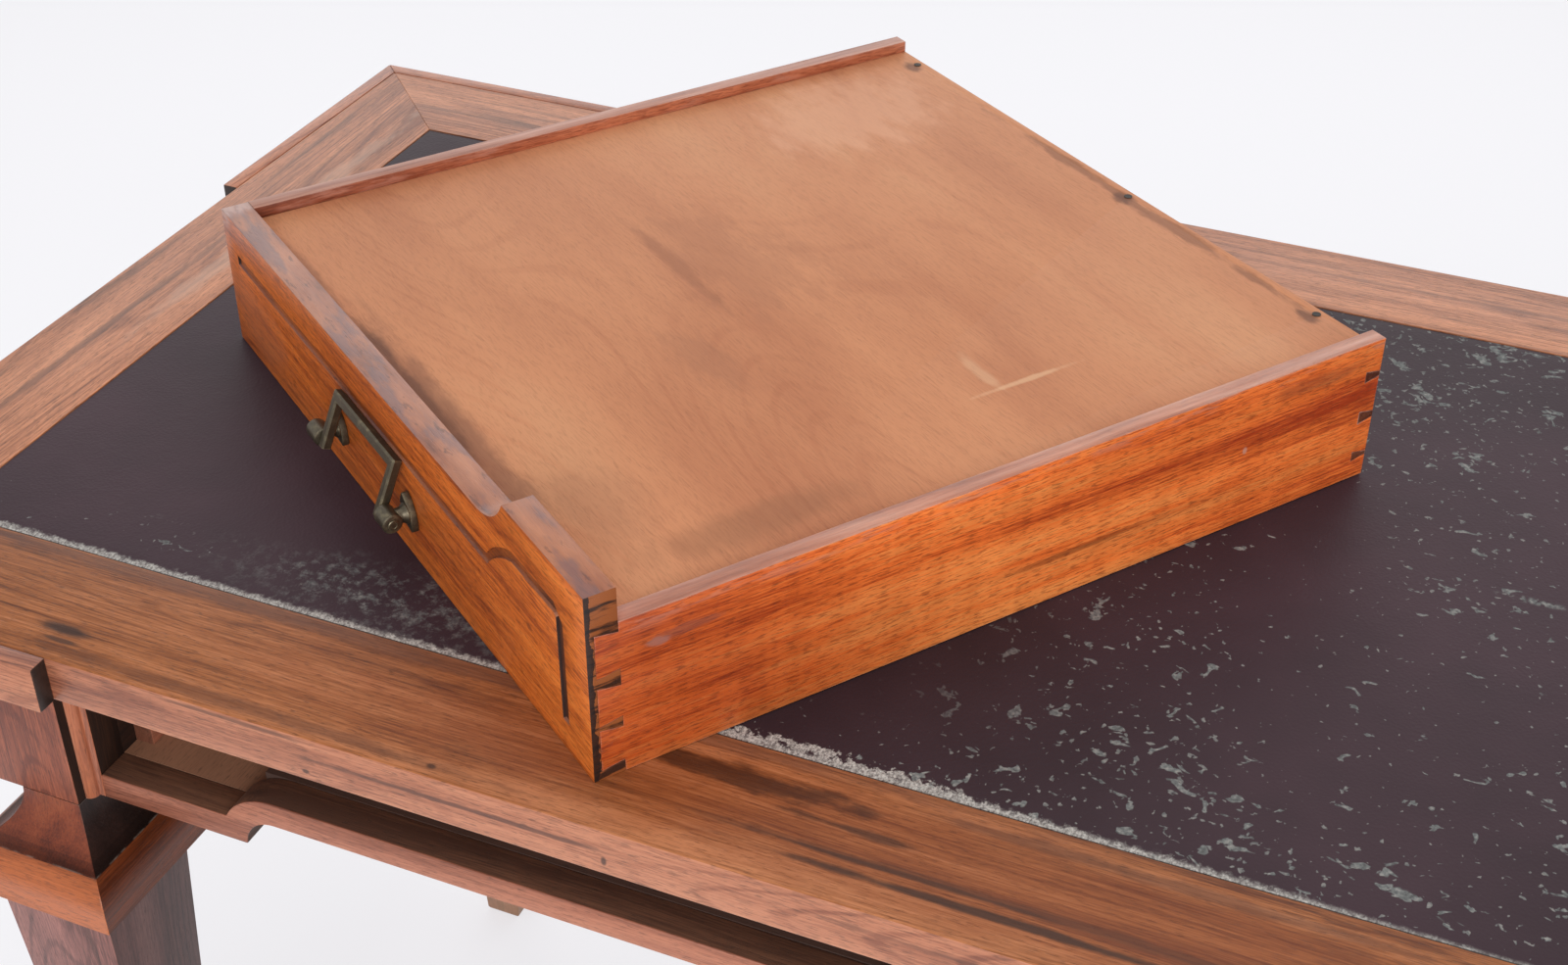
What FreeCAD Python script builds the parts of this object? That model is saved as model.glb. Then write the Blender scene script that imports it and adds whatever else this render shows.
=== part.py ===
"""Leather-topped writing desk with two frieze drawers, one of them lifted out.

The desk stands on four square tapered legs. Its top has a leather panel inside
mitred borders, and its four corners project a little beyond the edges. Two
drawers share the front. Each drawer front is deep at its outer end and shallow
towards the middle, and the rail below follows that step. The right drawer is in
its opening. The left drawer lies upside down on the leather, turned to the edge.

Units are millimetres. X runs to the right, Y to the back and Z up. The origin is
on the floor, under the middle of the whole object.
"""
import FreeCAD, Part
import math
import os

Vector = FreeCAD.Vector

# Overall sizes of the desk
desk_height = 752.0
top_length = 1383.0
top_depth = 710.0
top_thickness = 29.5

# Top: mitred borders round a ground panel with the leather on it
border_front = 85.0
border_back = 80.0
border_end = 80.0
leather_thickness = 1.5
leather_sink = 0.3

# Projecting corners of the top, each a pair of mitred edge strips
ear_projection = 11.5
ear_run = 219.5

# Corner blocks of the frieze, under the projecting corners
block_setback = 43.5
block_size = 127.5
mortise_depth = 30.0
tenon_width = 25.0

# Frieze front: stiles, rails and the drawer openings between them
frieze_setback = 56.0
frieze_board = 22.0
outer_stile_width = 10.0
centre_stile_width = 26.0
stile_bead = 6.0
rail_height = 17.3
step_run = 88.0
step_radius = 38.2
step_shift = 12.5

# Carcase behind the frieze front
side_panel_thickness = 20.0
back_panel_thickness = 12.0
partition_thickness = 18.0
floor_thickness = 8.0
floor_edge_run = 103.5
runner_width = 13.0
runner_setback = 34.0
glue_block_size = 20.0
glue_block_length = 60.0
side_glue_shares = (0.3, 0.7)
back_glue_shares = (0.2, 0.5, 0.8)

# Legs: neck with a cove, a moulded collar and a tapered square shaft
neck_width = 41.5
cove_height = 31.4
cove_flare = 22.9
collar_height = 33.7
collar_fascia = 12.8
collar_half_width = 53.3
collar_swell = 3.5
collar_core_half = 30.0
rear_leg_outset = 20.0
shaft_half_width = 40.0
foot_half_width = 16.0
foot_chamfer = 3.0

# Drawers
front_deep = 114.5
front_shallow = 93.2
front_thickness = 17.5
side_height = 93.5
side_thickness = 11.0
back_thickness = 11.0
bottom_thickness = 7.0
bottom_recess = 7.9
bottom_groove = 5.0
lap_thickness = 4.5
front_pin_shares = ((0.0, 0.06), (0.3, 0.41), (0.62, 0.69), (0.92, 1.0))
back_pin_shares = ((0.21, 0.29), (0.5, 0.59), (0.8, 0.87))
pin_narrowing = 2.2
gap_over = 0.5
gap_side = 0.75
gap_back = 1.5

# Incised line on each drawer front
line_width = 6.8
line_depth = 1.8
line_from_edge = 27.0
line_from_end = 28.2
line_inner_end = 20.0
line_top_end = 18.6
line_corner = 5.0
line_step_start = 112.0
line_step_end = 80.0
line_step_sag_share = 0.07

# Nails that hold the drawer bottom to the back board
nail_radius = 1.1
nail_length = 16.0
nail_head_radius = 2.6
nail_head_proud = 0.4
nail_shares = (0.1, 0.45, 0.93)

# Drop handles
handle_offset = 13.5
handle_spacing = 100.0
handle_down = 35.0
plate_curve_radius = 15.0
plate_width = 9.0
plate_thickness = 4.5
plate_middle_turn = 27.0
plate_half_turn = 38.0
post_radius = 4.6
post_foot_radius = 6.2
post_foot_length = 3.5
knuckle_radius = 6.0
knuckle_half = 7.0
knuckle_chamfer = 1.2
knuckle_out = 15.0
pivot_hole_radius = 1.65
pivot_pin_radius = 1.6
pin_head_radius = 3.2
pin_head_thickness = 0.8
pin_head_gap = 0.2
stem_radius = 2.5
stem_clearance = 0.1
nut_radius = 5.0
nut_thickness = 4.0
bail_bar = 6.0
bail_chamfer = 1.0
bail_length = 29.0
bail_tail = 4.0
bail_gap = 0.3

# Left drawer as it lies on the top
lay_corner_x = 530.3
lay_corner_y = 28.3
lay_turn = 35.4
lay_gap = 0.3

# One length by which every cut runs past the faces it goes through
overrun = 1.0

# Levels, measured down from the top surface
level_under = top_thickness
level_shallow = top_thickness + gap_over + front_shallow + gap_over
level_deep = top_thickness + gap_over + front_deep + gap_over
step_drop = level_deep - level_shallow
level_rail = level_deep + rail_height
level_rail_shallow = level_shallow + rail_height

# Places across the desk, measured from the left edge of the top
centre_x = top_length / 2
block_far = block_setback + block_size
opening_outer = block_far + outer_stile_width
opening_inner = centre_x - centre_stile_width / 2
opening_width = opening_inner - opening_outer
drawer_width = opening_width - gap_side - gap_side
handle_centre = drawer_width / 2 + handle_offset

# Places from front to back, measured from the front edge of the top
frieze_back = frieze_setback + frieze_board
rear_block_back = top_depth - block_setback
rear_block_front = rear_block_back - block_size
carcase_back = rear_block_front + neck_width
carcase_inner_back = carcase_back - back_panel_thickness
drawer_length = carcase_inner_back - gap_back - frieze_setback

# Where the lifted drawer's far corner reaches, and so the middle of the object
lay_radians = math.radians(lay_turn)
lay_reach = drawer_width * math.sin(lay_radians) + drawer_length * math.cos(lay_radians)
back_reach = max(top_depth + ear_projection, lay_corner_y + lay_reach)
left_edge = -centre_x
front_edge = -(back_reach - ear_projection) / 2

# Direction of the bail when it leans on the drawer front
bail_reach = math.hypot(bail_bar / 2, bail_bar / 2 - bail_chamfer)
bail_lean = math.degrees(math.asin((knuckle_out - bail_reach - bail_gap) / bail_length))


def slab(x0, x1, y0, y1, down0, down1):
    """Box between two places across, two from front to back and two levels."""
    corner = Vector(left_edge + x0, front_edge + y0, desk_height - down1)
    return Part.makeBox(x1 - x0, y1 - y0, down1 - down0, corner)


def plan_prism(points, down0, down1):
    """Upright prism on a plan outline of places across and from front to back."""
    low = desk_height - down1
    corners = [Vector(left_edge + x, front_edge + y, low) for x, y in points]
    outline = Part.makePolygon(corners + corners[:1])
    return Part.Face(outline).extrude(Vector(0, 0, down1 - down0))


def mirrored(shape):
    """The same shape on the other side of the desk's middle."""
    return shape.mirror(Vector(0, 0, 0), Vector(1, 0, 0))


def box_between(low, high):
    """Box between two opposite corners."""
    size = high - low
    return Part.makeBox(size.x, size.y, size.z, low)


def solid_from(edges, travel):
    """Solid made by pushing a closed outline of edges along a vector."""
    return Part.Face(Part.Wire(edges)).extrude(travel)


def joined(shapes):
    """One solid from shapes that touch or overlap."""
    whole = shapes[0]
    for shape in shapes[1:]:
        whole = whole.fuse(shape)
    return whole.removeSplitter()


def border_outlines():
    """Plan outlines of the four mitred border boards, by node name."""
    inner_left = border_end
    inner_right = top_length - border_end
    inner_back = top_depth - border_back
    return {
        "border_front": [(0, 0), (top_length, 0), (inner_right, border_front), (inner_left, border_front)],
        "border_back": [(0, top_depth), (inner_left, inner_back), (inner_right, inner_back),
                        (top_length, top_depth)],
        "border_left": [(0, 0), (inner_left, border_front), (inner_left, inner_back), (0, top_depth)],
        "border_right": [(top_length, 0), (top_length, top_depth), (inner_right, inner_back),
                         (inner_right, border_front)],
    }


def ground_panel():
    """Panel inside the borders that the leather is laid on."""
    return slab(border_end, top_length - border_end, border_front, top_depth - border_back,
                leather_sink + leather_thickness, level_under)


def leather_panel():
    """Leather writing surface, a little below the borders."""
    return slab(border_end, top_length - border_end, border_front, top_depth - border_back,
                leather_sink, leather_sink + leather_thickness)


def corner_strips(at_back):
    """The two mitred edge strips of a left corner of the top."""
    if at_back:
        edge, out, run = top_depth, top_depth + ear_projection, top_depth - ear_run
    else:
        edge, out, run = 0, -ear_projection, ear_run
    along_x = plan_prism([(0, edge), (-ear_projection, out), (ear_run, out), (ear_run, edge)], 0, level_under)
    outline_y = [(0, edge), (0, run), (-ear_projection, run), (-ear_projection, out)]
    along_y = plan_prism(outline_y, 0, level_under)
    return Part.makeCompound([along_x, along_y])


def leg_axis(at_back):
    """Place of a left leg's axis, its neck flush with the block's front; a rear leg stands further out."""
    block_front = rear_block_front if at_back else block_setback
    outset = rear_leg_outset if at_back else 0
    return block_far - neck_width / 2 - outset, block_front + neck_width / 2


def corner_block(at_back):
    """Left corner block with the mortise that the leg's tenon fills."""
    front = rear_block_front if at_back else block_setback
    block = slab(block_setback, block_far, front, front + block_size, level_under, level_rail)
    axis_x, axis_y = leg_axis(at_back)
    half = tenon_width / 2
    mortise = slab(axis_x - half, axis_x + half, axis_y - half, axis_y + half,
                   level_rail - mortise_depth, level_rail + overrun)
    return block.cut(mortise)


def leg_profile_edges():
    """Half outline of the leg, as distance from the axis and level, and its mirror."""
    neck = neck_width / 2
    tenon = tenon_width / 2
    radius = (cove_height ** 2 + cove_flare ** 2) / (2 * cove_flare)
    half_angle = math.asin(cove_height / radius) / 2
    cove_end = level_rail + cove_height
    collar_end = cove_end + collar_height
    cove_mid = (neck + radius * (1 - math.cos(half_angle)), level_rail + radius * math.sin(half_angle))
    cove_out = neck + cove_flare
    outline = [
        (tenon, level_rail - mortise_depth), (tenon, level_rail), (neck, level_rail),
        (cove_out, cove_end), (collar_core_half, cove_end), (collar_core_half, collar_end),
        (shaft_half_width, collar_end), (foot_half_width, desk_height - foot_chamfer),
        (foot_half_width - foot_chamfer, desk_height),
    ]
    edges = []
    for side in (1, -1):
        points = [Vector(side * half, 0, desk_height - down) for half, down in outline]
        middle = Vector(side * cove_mid[0], 0, desk_height - cove_mid[1])
        for index in range(len(points) - 1):
            if outline[index] == (neck, level_rail):
                edges.append(Part.Arc(points[index], middle, points[index + 1]).toShape())
            else:
                edges.append(Part.makeLine(points[index], points[index + 1]))
    for index in (0, -1):
        half, down = outline[index]
        edges.append(Part.makeLine(Vector(half, 0, desk_height - down), Vector(-half, 0, desk_height - down)))
    return Part.__sortEdges__(edges)


def leg(at_back):
    """Left leg with tenon, neck, cove, core under the collar and tapered shaft."""
    width = 2 * (collar_half_width + overrun)
    start = Vector(0, -width / 2, 0)
    along_y = solid_from(leg_profile_edges(), Vector(0, width, 0))
    along_y.translate(start)
    along_x = along_y.copy()
    along_x.rotate(Vector(0, 0, 0), Vector(0, 0, 1), 90)
    body = along_y.common(along_x).removeSplitter()
    axis_x, axis_y = leg_axis(at_back)
    body.translate(Vector(left_edge + axis_x, front_edge + axis_y, 0))
    return body


def collar(at_back):
    """Four mitred strips of moulding round the leg, under its cove."""
    top_half = neck_width / 2 + cove_flare
    top = desk_height - level_rail - cove_height
    bottom = top - collar_height
    fascia = bottom + collar_fascia
    chord = Vector(collar_half_width - top_half, 0, fascia - top)
    outward = Vector(-chord.z, 0, chord.x).normalize()
    start = Vector(top_half, 0, top)
    end = Vector(collar_half_width, 0, fascia)
    middle = start + chord * 0.5 + outward * collar_swell
    corners = [end, Vector(collar_half_width, 0, bottom), Vector(collar_core_half, 0, bottom),
               Vector(collar_core_half, 0, top), start]
    edges = [Part.Arc(start, middle, end).toShape()]
    edges += [Part.makeLine(a, b) for a, b in zip(corners, corners[1:])]
    long_strip = solid_from(edges, Vector(0, 2 * collar_half_width, 0))
    long_strip.translate(Vector(0, -collar_half_width, 0))
    reach = collar_half_width + overrun
    wedge_points = [Vector(0, 0, bottom), Vector(reach, -reach, bottom), Vector(reach, reach, bottom)]
    wedge = Part.Face(Part.makePolygon(wedge_points + wedge_points[:1])).extrude(Vector(0, 0, collar_height))
    strip = long_strip.common(wedge)
    axis_x, axis_y = leg_axis(at_back)
    strips = []
    for quarter in range(4):
        piece = strip.copy()
        piece.rotate(Vector(0, 0, 0), Vector(0, 0, 1), 90 * quarter)
        piece.translate(Vector(left_edge + axis_x, front_edge + axis_y, 0))
        strips.append(piece)
    return Part.makeCompound(strips)


def outer_stile():
    """Left stile with a quarter-round bead against the corner block."""
    board = slab(block_far, opening_outer, frieze_setback, frieze_back, level_under, level_rail)
    foot = Vector(left_edge + block_far, front_edge + frieze_setback, desk_height - level_rail)
    bead = Part.makeCylinder(stile_bead, level_rail - level_under, foot, Vector(0, 0, 1), 90)
    bead.rotate(foot, Vector(0, 0, 1), -90)
    return joined([board, bead])


def centre_stile():
    """Stile between the two drawers."""
    half = centre_stile_width / 2
    return slab(centre_x - half, centre_x + half, frieze_setback, frieze_back,
                level_under, level_rail_shallow)


def step_reach(radius, drop):
    """Length along an edge in which an arc that starts level falls by a drop."""
    return math.sqrt(radius ** 2 - (radius - drop) ** 2)


def step_arc(over, radius, drop):
    """Arc that starts level at its high end and falls towards the left, with its low end."""
    centre = over - Vector(0, 0, radius)
    half_turn = math.acos((radius - drop) / radius) / 2
    middle = centre + Vector(-radius * math.sin(half_turn), 0, radius * math.cos(half_turn))
    low = over - Vector(step_reach(radius, drop), 0, drop)
    return low, Part.Arc(low, middle, over).toShape()


def front_rail():
    """Left rail under the drawer, with its stepped top and bottom edges."""
    face = front_edge + frieze_setback
    low_x = left_edge + opening_outer
    high_x = left_edge + opening_inner
    step_x = low_x + step_run
    upper = Vector(step_x + step_reach(step_radius, step_drop), face, desk_height - level_shallow)
    lower = Vector(step_x + step_drop + step_shift, face, desk_height - level_rail_shallow)
    upper_low, upper_step = step_arc(upper, step_radius, step_drop)
    lower_low, lower_step = step_arc(lower, step_drop, step_drop)
    corners_low = [lower_low, Vector(low_x, face, desk_height - level_rail),
                   Vector(low_x, face, desk_height - level_deep), upper_low]
    corners_high = [upper, Vector(high_x, face, desk_height - level_shallow),
                    Vector(high_x, face, desk_height - level_rail_shallow), lower]
    edges = [Part.makeLine(a, b) for a, b in zip(corners_low, corners_low[1:])]
    edges += [Part.makeLine(a, b) for a, b in zip(corners_high, corners_high[1:])]
    return solid_from(Part.__sortEdges__(edges + [upper_step, lower_step]), Vector(0, frieze_board, 0))


def drawer_guide():
    """Upright board beside the left opening, which guides the drawer's outer side."""
    return slab(block_far, opening_outer, frieze_back, carcase_inner_back,
                level_under, level_deep + floor_thickness)


def lower_floor():
    """Board at the deep level, under the outer end of the left drawer."""
    return slab(opening_outer, opening_outer + floor_edge_run, frieze_back, carcase_inner_back,
                level_deep, level_deep + floor_thickness)


def upper_floor():
    """Dust board at the shallow level, with the batten that carries its outer edge."""
    inner = centre_x - partition_thickness / 2
    edge = opening_outer + floor_edge_run
    board = slab(edge, inner, frieze_back, carcase_inner_back, level_shallow, level_shallow + floor_thickness)
    batten = slab(edge, edge + floor_thickness, frieze_back, carcase_inner_back,
                  level_shallow, level_deep + floor_thickness)
    return joined([board, batten])


def runner():
    """Strip on the lower floor that the drawer's outer side runs on."""
    return slab(opening_outer, opening_outer + runner_width, frieze_setback + runner_setback,
                carcase_inner_back, level_shallow, level_deep)


def centre_partition():
    """Upright board between the two drawer spaces."""
    half = partition_thickness / 2
    return slab(centre_x - half, centre_x + half, frieze_back, carcase_inner_back,
                level_under, level_rail_shallow)


def side_panel():
    """Left frieze board between the front and rear corner blocks."""
    outer = block_far - neck_width
    return slab(outer, outer + side_panel_thickness, block_setback + block_size, rear_block_front,
                level_under, level_rail)


def back_panel():
    """Back frieze board between the rear corner blocks."""
    return slab(block_far, top_length - block_far, carcase_inner_back, carcase_back, level_under, level_rail)


def glue_blocks():
    """Triangular blocks that fix the top to the side and back frieze boards."""
    blocks = []
    half = glue_block_length / 2
    side_x = block_far - neck_width + side_panel_thickness
    side_start = block_setback + block_size
    for share in side_glue_shares:
        middle = side_start + share * (rear_block_front - side_start)
        corner = [(side_x, level_under), (side_x + glue_block_size, level_under),
                  (side_x, level_under + glue_block_size)]
        points = [Vector(left_edge + x, front_edge + middle - half, desk_height - down) for x, down in corner]
        block = Part.Face(Part.makePolygon(points + points[:1])).extrude(Vector(0, glue_block_length, 0))
        blocks += [block, mirrored(block)]
    for share in back_glue_shares:
        middle = block_far + share * (top_length - 2 * block_far)
        corner = [(carcase_back, level_under), (carcase_back + glue_block_size, level_under),
                  (carcase_back, level_under + glue_block_size)]
        points = [Vector(left_edge + middle - half, front_edge + y, desk_height - down) for y, down in corner]
        face = Part.Face(Part.makePolygon(points + points[:1]))
        blocks.append(face.extrude(Vector(glue_block_length, 0, 0)))
    return Part.makeCompound(blocks)


def pin_solids(near, far, x0, x1, pin_shares):
    """Dovetail pins across a side, wide at the shoulder and narrower at the far end."""
    pins = []
    for low_share, high_share in pin_shares:
        low = (low_share - 1) * side_height
        high = (high_share - 1) * side_height
        far_low = low + pin_narrowing if low_share > 0 else low
        far_high = high - pin_narrowing if high_share < 1 else high
        points = [Vector(x0, near, low), Vector(x0, far, far_low), Vector(x0, far, far_high),
                  Vector(x0, near, high)]
        face = Part.Face(Part.makePolygon(points + points[:1]))
        pins.append(face.extrude(Vector(x1 - x0, 0, 0)))
    return pins


def bottom_level():
    """Level of the drawer bottom's upper face, in the drawer's own frame."""
    return -(side_height - bottom_recess - bottom_thickness)


def side_range(inner):
    """Start and end of a drawer side across the drawer."""
    if inner:
        return drawer_width - side_thickness, drawer_width
    return 0, side_thickness


def front_tails(inner):
    """Tails of a side that go into the drawer front, stopped by its lap."""
    x0, x1 = side_range(inner)
    tails = box_between(Vector(x0, lap_thickness, -side_height), Vector(x1, front_thickness, 0))
    for pin in pin_solids(front_thickness, lap_thickness, x0, x1, front_pin_shares):
        tails = tails.cut(pin)
    return tails.Solids


def back_pins(inner):
    """Pins of the back board that show through a side."""
    x0, x1 = side_range(inner)
    return pin_solids(drawer_length - back_thickness, drawer_length, x0, x1, back_pin_shares)


def incised_line():
    """Cutter for the shallow line that follows the lower edge and outer end of the front."""
    half = line_width / 2
    deep = -(front_deep - line_from_edge)
    shallow = -(front_shallow - line_from_edge)
    inner_x = drawer_width - line_inner_end
    runs = [
        box_between(Vector(line_step_start, 0, shallow - half), Vector(inner_x, line_depth, shallow + half)),
        box_between(Vector(line_from_end + line_corner, 0, deep - half),
                    Vector(line_step_end, line_depth, deep + half)),
        box_between(Vector(line_from_end - half, 0, deep + line_corner),
                    Vector(line_from_end + half, line_depth, -line_top_end)),
    ]
    corner = [Vector(line_from_end - half, 0, deep + line_corner),
              Vector(line_from_end + half, 0, deep + line_corner),
              Vector(line_from_end + line_corner, 0, deep + half),
              Vector(line_from_end + line_corner, 0, deep - half)]
    runs.append(Part.Face(Part.makePolygon(corner + corner[:1])).extrude(Vector(0, line_depth, 0)))
    start = Vector(line_step_start, 0, shallow)
    end = Vector(line_step_end, 0, deep)
    chord = end - start
    lift = Vector(chord.z, 0, -chord.x).normalize() * (-line_step_sag_share * chord.Length)
    middle = start + chord * 0.5 + lift
    offset = Vector(0, 0, half)
    upper = Part.Arc(start + offset, middle + offset, end + offset).toShape()
    lower = Part.Arc(start - offset, middle - offset, end - offset).toShape()
    ends = [Part.makeLine(start + offset, start - offset), Part.makeLine(end + offset, end - offset)]
    runs.append(solid_from(Part.__sortEdges__([upper, lower] + ends), Vector(0, line_depth, 0)))
    line = joined(runs)
    return line


def handle_places():
    """Places of the two posts across the drawer front."""
    half = handle_spacing / 2
    return handle_centre - half, handle_centre + half


def drawer_front():
    """Drawer front: stepped lower edge, sockets, groove, incised line and post holes."""
    over = Vector(step_run + step_reach(step_radius, step_drop) - gap_side, 0, -front_shallow)
    step_low, step = step_arc(over, step_radius + gap_over, front_deep - front_shallow)
    corners = [step_low, Vector(0, 0, -front_deep), Vector(0, 0, 0), Vector(drawer_width, 0, 0),
               Vector(drawer_width, 0, -front_shallow), over]
    edges = [Part.makeLine(a, b) for a, b in zip(corners, corners[1:])]
    edges.append(step)
    board = solid_from(Part.__sortEdges__(edges), Vector(0, front_thickness, 0))
    for inner in (False, True):
        for tail in front_tails(inner):
            board = board.cut(tail)
    start = side_thickness - bottom_groove
    board = board.cut(box_between(
        Vector(start, front_thickness - bottom_groove, bottom_level() - bottom_thickness),
        Vector(drawer_width - start, front_thickness + overrun, bottom_level())))
    board = board.cut(incised_line())
    for place in handle_places():
        board = board.cut(Part.makeCylinder(stem_radius + stem_clearance, front_thickness + 2 * overrun,
                                            Vector(place, -overrun, -handle_down), Vector(0, 1, 0)))
    return board


def drawer_side(inner):
    """Drawer side with lapped tails in front, sockets for the back's pins and a groove."""
    x0, x1 = side_range(inner)
    side = box_between(Vector(x0, front_thickness, -side_height), Vector(x1, drawer_length, 0))
    for pin in back_pins(inner):
        side = side.cut(pin)
    side = joined([side] + front_tails(inner))
    face = x0 if inner else x1 - bottom_groove
    groove = box_between(
        Vector(face, lap_thickness, bottom_level() - bottom_thickness),
        Vector(face + bottom_groove, drawer_length + overrun, bottom_level()))
    return side.cut(groove)


def drawer_back():
    """Back board between the sides, with its pins through both of them."""
    board = box_between(Vector(side_thickness, drawer_length - back_thickness, bottom_level()),
                        Vector(drawer_width - side_thickness, drawer_length, 0))
    board = joined([board] + back_pins(False) + back_pins(True))
    for nail in nail_solids(False):
        board = board.cut(nail)
    return board


def drawer_bottom():
    """Bottom panel, grooved into the front and sides and nailed under the back."""
    start = side_thickness - bottom_groove
    panel = box_between(
        Vector(start, front_thickness - bottom_groove, bottom_level() - bottom_thickness),
        Vector(drawer_width - start, drawer_length, bottom_level()))
    for nail in nail_solids(False):
        panel = panel.cut(nail)
    return panel


def nail_solids(with_heads):
    """Nails up through the bottom panel into the back board."""
    face = bottom_level() - bottom_thickness
    middle_y = drawer_length - back_thickness / 2
    nails = []
    for share in nail_shares:
        foot = Vector(share * drawer_width, middle_y, face)
        nail = Part.makeCylinder(nail_radius, nail_length, foot, Vector(0, 0, 1))
        if with_heads:
            head = Part.makeCylinder(nail_head_radius, nail_head_proud,
                                     foot - Vector(0, 0, nail_head_proud), Vector(0, 0, 1))
            nail = joined([nail, head])
        nails.append(nail)
    return nails


def handle_plates():
    """Thick crescent plates behind the two posts, both curved the same way."""
    middle = math.radians(plate_middle_turn)
    half = math.radians(plate_half_turn)
    toward_centre = Vector(math.cos(middle), 0, math.sin(middle))
    radii = (plate_curve_radius - plate_width / 2, plate_curve_radius + plate_width / 2)
    plates = []
    for place in handle_places():
        post = Vector(place, 0, -handle_down)
        centre = post + toward_centre * plate_curve_radius
        turns = (middle - half, middle, middle + half)
        rims = [[centre - Vector(math.cos(turn), 0, math.sin(turn)) * radius for turn in turns]
                for radius in radii]
        edges = [Part.Arc(*rim).toShape() for rim in rims]
        edges += [Part.makeLine(rims[0][index], rims[1][index]) for index in (0, 2)]
        plate = solid_from(Part.__sortEdges__(edges), Vector(0, -plate_thickness, 0))
        start = post + Vector(0, overrun, 0)
        hole = Part.makeCylinder(stem_radius, plate_thickness + 2 * overrun, start, Vector(0, -1, 0))
        plates.append(plate.cut(hole))
    return Part.makeCompound(plates)


def handle_posts():
    """Two posts with knuckles and threaded stems, and the nuts inside the drawer."""
    pieces = []
    core = knuckle_half - knuckle_chamfer
    for place in handle_places():
        face = Vector(place, 0, -handle_down)
        outer = face - Vector(0, plate_thickness, 0)
        middle = face - Vector(0, knuckle_out, 0)
        foot = Part.makeCone(post_foot_radius, post_radius, post_foot_length, outer, Vector(0, -1, 0))
        neck = Part.makeCylinder(post_radius, knuckle_out - plate_thickness, outer, Vector(0, -1, 0))
        knuckle = [Part.makeCylinder(knuckle_radius, 2 * core, middle - Vector(core, 0, 0), Vector(1, 0, 0))]
        for side in (1, -1):
            knuckle.append(Part.makeCone(knuckle_radius, knuckle_radius - knuckle_chamfer, knuckle_chamfer,
                                         middle + Vector(side * core, 0, 0), Vector(side, 0, 0)))
        stem_length = plate_thickness + front_thickness + nut_thickness
        stem = Part.makeCylinder(stem_radius, stem_length, outer, Vector(0, 1, 0))
        hole = Part.makeCylinder(pivot_hole_radius, 2 * (knuckle_half + overrun),
                                 middle - Vector(knuckle_half + overrun, 0, 0), Vector(1, 0, 0))
        pieces.append(joined([foot, neck, stem] + knuckle).cut(hole))
        inside = face + Vector(0, front_thickness, 0)
        nut = Part.makeCylinder(nut_radius, nut_thickness, inside, Vector(0, 1, 0))
        pieces.append(nut.cut(Part.makeCylinder(stem_radius, nut_thickness + 2 * overrun,
                                                inside - Vector(0, overrun, 0), Vector(0, 1, 0))))
    return Part.makeCompound(pieces)


def bail_arm_offset():
    """Distance from a post's axis to the middle of the arm beside it."""
    return knuckle_half + bail_gap + bail_bar / 2


def bar_section(middle_x, middle_y):
    """Upright chamfered square bar's outline as points round a middle."""
    half = bail_bar / 2
    short = half - bail_chamfer
    ring = [(half, short), (short, half), (-short, half), (-half, short),
            (-half, -short), (-short, -half), (short, -half), (half, -short)]
    return [(middle_x + x, middle_y + y) for x, y in ring]


def upright_bar(middle_x, low, high):
    """Chamfered arm of the bail between two levels."""
    points = [Vector(x, y, low) for x, y in bar_section(middle_x, -knuckle_out)]
    return Part.Face(Part.makePolygon(points + points[:1])).extrude(Vector(0, 0, high - low))


def cross_bar(x0, x1, level):
    """Chamfered bar of the bail between two places across."""
    points = [Vector(x0, y, z) for z, y in bar_section(level, -knuckle_out)]
    return Part.Face(Part.makePolygon(points + points[:1])).extrude(Vector(x1 - x0, 0, 0))


def mitred(bar, corners):
    """The part of a bail's bar inside an outline of places across and levels."""
    points = [Vector(x, -knuckle_out - bail_bar, z) for x, z in corners]
    keep = Part.Face(Part.makePolygon(points + points[:1])).extrude(Vector(0, 2 * bail_bar, 0))
    return bar.common(keep)


def bail(lean):
    """Chamfered square bail with mitred corners, hanging from pins in the two posts."""
    low, high = handle_places()
    half = bail_bar / 2
    middles = (low + bail_arm_offset(), high - bail_arm_offset())
    pivot_z = -handle_down
    top = pivot_z + bail_tail
    bottom = pivot_z - bail_length - half
    inside = bottom + bail_bar
    head_start = bail_arm_offset() + knuckle_half + pin_head_gap
    arms = []
    for middle, toward in ((middles[0], -1), (middles[1], 1)):
        outer, inner = middle + toward * half, middle - toward * half
        corners = [(outer, bottom), (inner, inside), (inner, top), (outer, top)]
        arms.append(mitred(upright_bar(middle, bottom, top), corners))
        pivot = Vector(middle, -knuckle_out, pivot_z)
        arms.append(Part.makeCylinder(pivot_pin_radius, head_start, pivot, Vector(toward, 0, 0)))
        arms.append(Part.makeCylinder(pin_head_radius, pin_head_thickness,
                                      pivot + Vector(toward * head_start, 0, 0), Vector(toward, 0, 0)))
    outers = (middles[0] - half, middles[1] + half)
    corners = [(outers[0], bottom), (outers[1], bottom), (middles[1] - half, inside),
               (middles[0] + half, inside)]
    bar = mitred(cross_bar(outers[0], outers[1], pivot_z - bail_length), corners)
    whole = joined([bar] + arms)
    whole.rotate(Vector(0, -knuckle_out, pivot_z), Vector(1, 0, 0), lean)
    return whole


def drawer_pieces(lean):
    """Every piece of one drawer in its own frame: x from the outer end, y from the face."""
    return {
        "front": drawer_front(),
        "side_outer": drawer_side(False),
        "side_inner": drawer_side(True),
        "back": drawer_back(),
        "bottom": drawer_bottom(),
        "nails": Part.makeCompound(nail_solids(True)),
        "handle_plates": handle_plates(),
        "handle_posts": handle_posts(),
        "bail": bail(lean),
    }


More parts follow.
